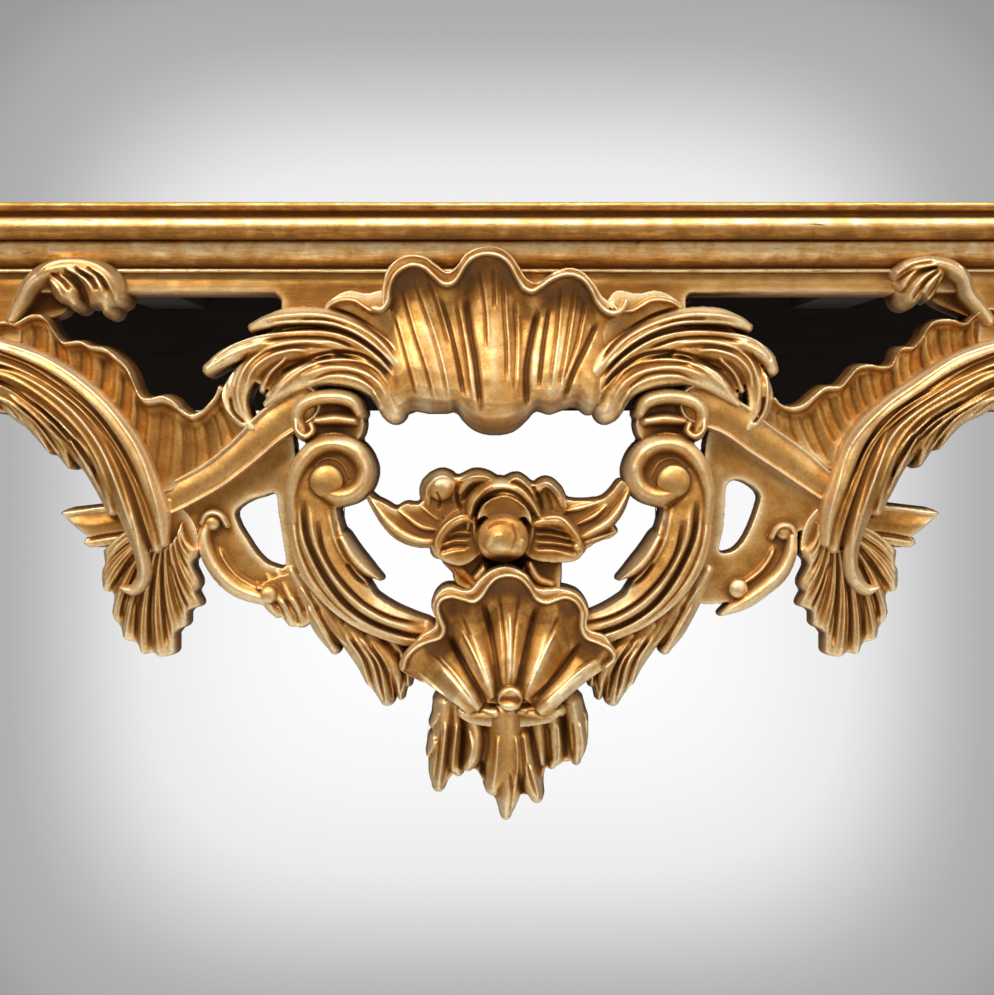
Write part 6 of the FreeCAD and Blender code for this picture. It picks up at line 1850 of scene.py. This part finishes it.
def soft_light(name, place, target, size, power, colour):
    """A large soft studio light."""
    light = bpy.data.lights.new(name, "AREA")
    light.shape = "RECTANGLE"
    light.size, light.size_y = size
    light.energy = power
    light.color = linear(colour)[:3]
    lamp = bpy.data.objects.new(name, light)
    lamp.location = place
    lamp.rotation_euler = (Vector(target) - Vector(place)).to_track_quat("-Z", "Y").to_euler()
    bpy.context.scene.collection.objects.link(lamp)


aim = (0, -0.2, 0.72)
soft_light("key", (-0.9, -1.7, 2.1), aim, (0.9, 0.6), 36, "#FFF2DC")
soft_light("top", (0.3, -0.75, 2.0), aim, (1.6, 0.4), 22, "#FFFAF0")
soft_light("fill", (1.7, -2.2, 1.2), aim, (0.8, 1.2), 16, "#FFF6E8")

# The surround is a pale studio that lights the table from above more than from below. What is seen behind
# the table is white in a rounded square, and goes to grey away from it.
world = bpy.data.worlds.new("studio")
bpy.context.scene.world = world
world.use_nodes = True
world.node_tree.nodes.clear()


def world_node(kind, links=(), **settings):
    """Adds a node to the surround."""
    return add_node(world, kind, links, **settings)


ray = world_node("ShaderNodeTexCoord")
parts_of = world_node("ShaderNodeSeparateXYZ", [(ray.outputs["Generated"], "Vector")])
height_ramp = change_range(world, parts_of.outputs["Z"], -0.6, 0.9)
glow = world_node("ShaderNodeValToRGB", [(height_ramp.outputs[0], "Fac")])
set_ramp(glow, ((0.0, "#6A5A48"), (0.38, "#8A8278"), (0.6, "#AAA8A4"), (1.0, "#F4F4F2")))
lit = world_node("ShaderNodeBackground", [(glow.outputs[0], "Color")], in_Strength=0.84)
level_ray = world_node("ShaderNodeMapping", [(ray.outputs["Generated"], "Vector")], in_Location=(0, 0, 0.036))
level_ray.inputs["Scale"].default_value = (1, 0, 1)
squared = world_node(
    "ShaderNodeVectorMath", [(level_ray.outputs[0], 0), (level_ray.outputs[0], 1)], operation="MULTIPLY"
)
away = world_node("ShaderNodeVectorMath", [(squared.outputs[0], 0)], operation="LENGTH")
away = work_out(world, "SQRT", [(away.outputs["Value"], 0)])
seen_ramp = change_range(world, away.outputs[0], 0.0, 0.3)
seen_colour = world_node("ShaderNodeValToRGB", [(seen_ramp.outputs[0], "Fac")])
set_ramp(seen_colour, (
    (0.0, "#FFFFFF"), (0.2, "#FEFEFE"), (0.34, "#F6F6F6"), (0.45, "#EBEBEB"), (0.494, "#DEDEDE"),
    (0.525, "#D2D2D2"), (0.58, "#BDBDBD"), (0.617, "#B2B2B2"), (0.672, "#ABABAB"), (0.727, "#9C9C9C"),
    (1.0, "#8C8C8C"),
))
seen = world_node("ShaderNodeBackground", [(seen_colour.outputs[0], "Color")], in_Strength=1.0)
path = world_node("ShaderNodeLightPath")
both = world_node(
    "ShaderNodeMixShader", [(path.outputs["Is Camera Ray"], 0), (lit.outputs[0], 1), (seen.outputs[0], 2)]
)
world_node("ShaderNodeOutputWorld", [(both.outputs[0], "Surface")])
bpy.context.scene.view_settings.view_transform = "Standard"

# The camera stands level in front of the table, a little left of its middle, as in the photograph. Its
# shift brings the table to the photograph's place in the picture.
camera_data = bpy.data.cameras.new("camera")
camera_data.sensor_width = 36.0
camera_data.clip_start = 0.05
camera = bpy.data.objects.new("camera", camera_data)
bpy.context.scene.collection.objects.link(camera)
bpy.context.scene.camera = camera
photo_width_px = 994
photo_height_px = 995
# The photograph's scale holds this far forward of the board's back, where most of the carving's face lies
SCALE_PLANE = 36
scale_plane_y = board_back_y - SCALE_PLANE * MM
# From the camera to the plane of the scale, in metres
distance = 1.55
# Row and column of the photograph that lie straight ahead of the camera
EYE_ROW, EYE_COLUMN = 424, 497
camera_x = (EYE_COLUMN - PHOTO_MIDDLE) * PX * MM
camera_z = table_height - (EYE_ROW - PHOTO_TOP) * PX * MM
view_width = photo_width_px * PX * MM
camera_data.lens = camera_data.sensor_width * distance / view_width
camera.location = (camera_x, scale_plane_y - distance, camera_z)
camera.rotation_euler = (math.radians(90), 0, 0)
# The picture's middle row is below the camera's height, which the shift makes up for
middle_z = table_height - (photo_height_px / 2 - PHOTO_TOP) * PX * MM
camera_data.shift_y = (middle_z - camera_z) / (photo_height_px * PX * MM)
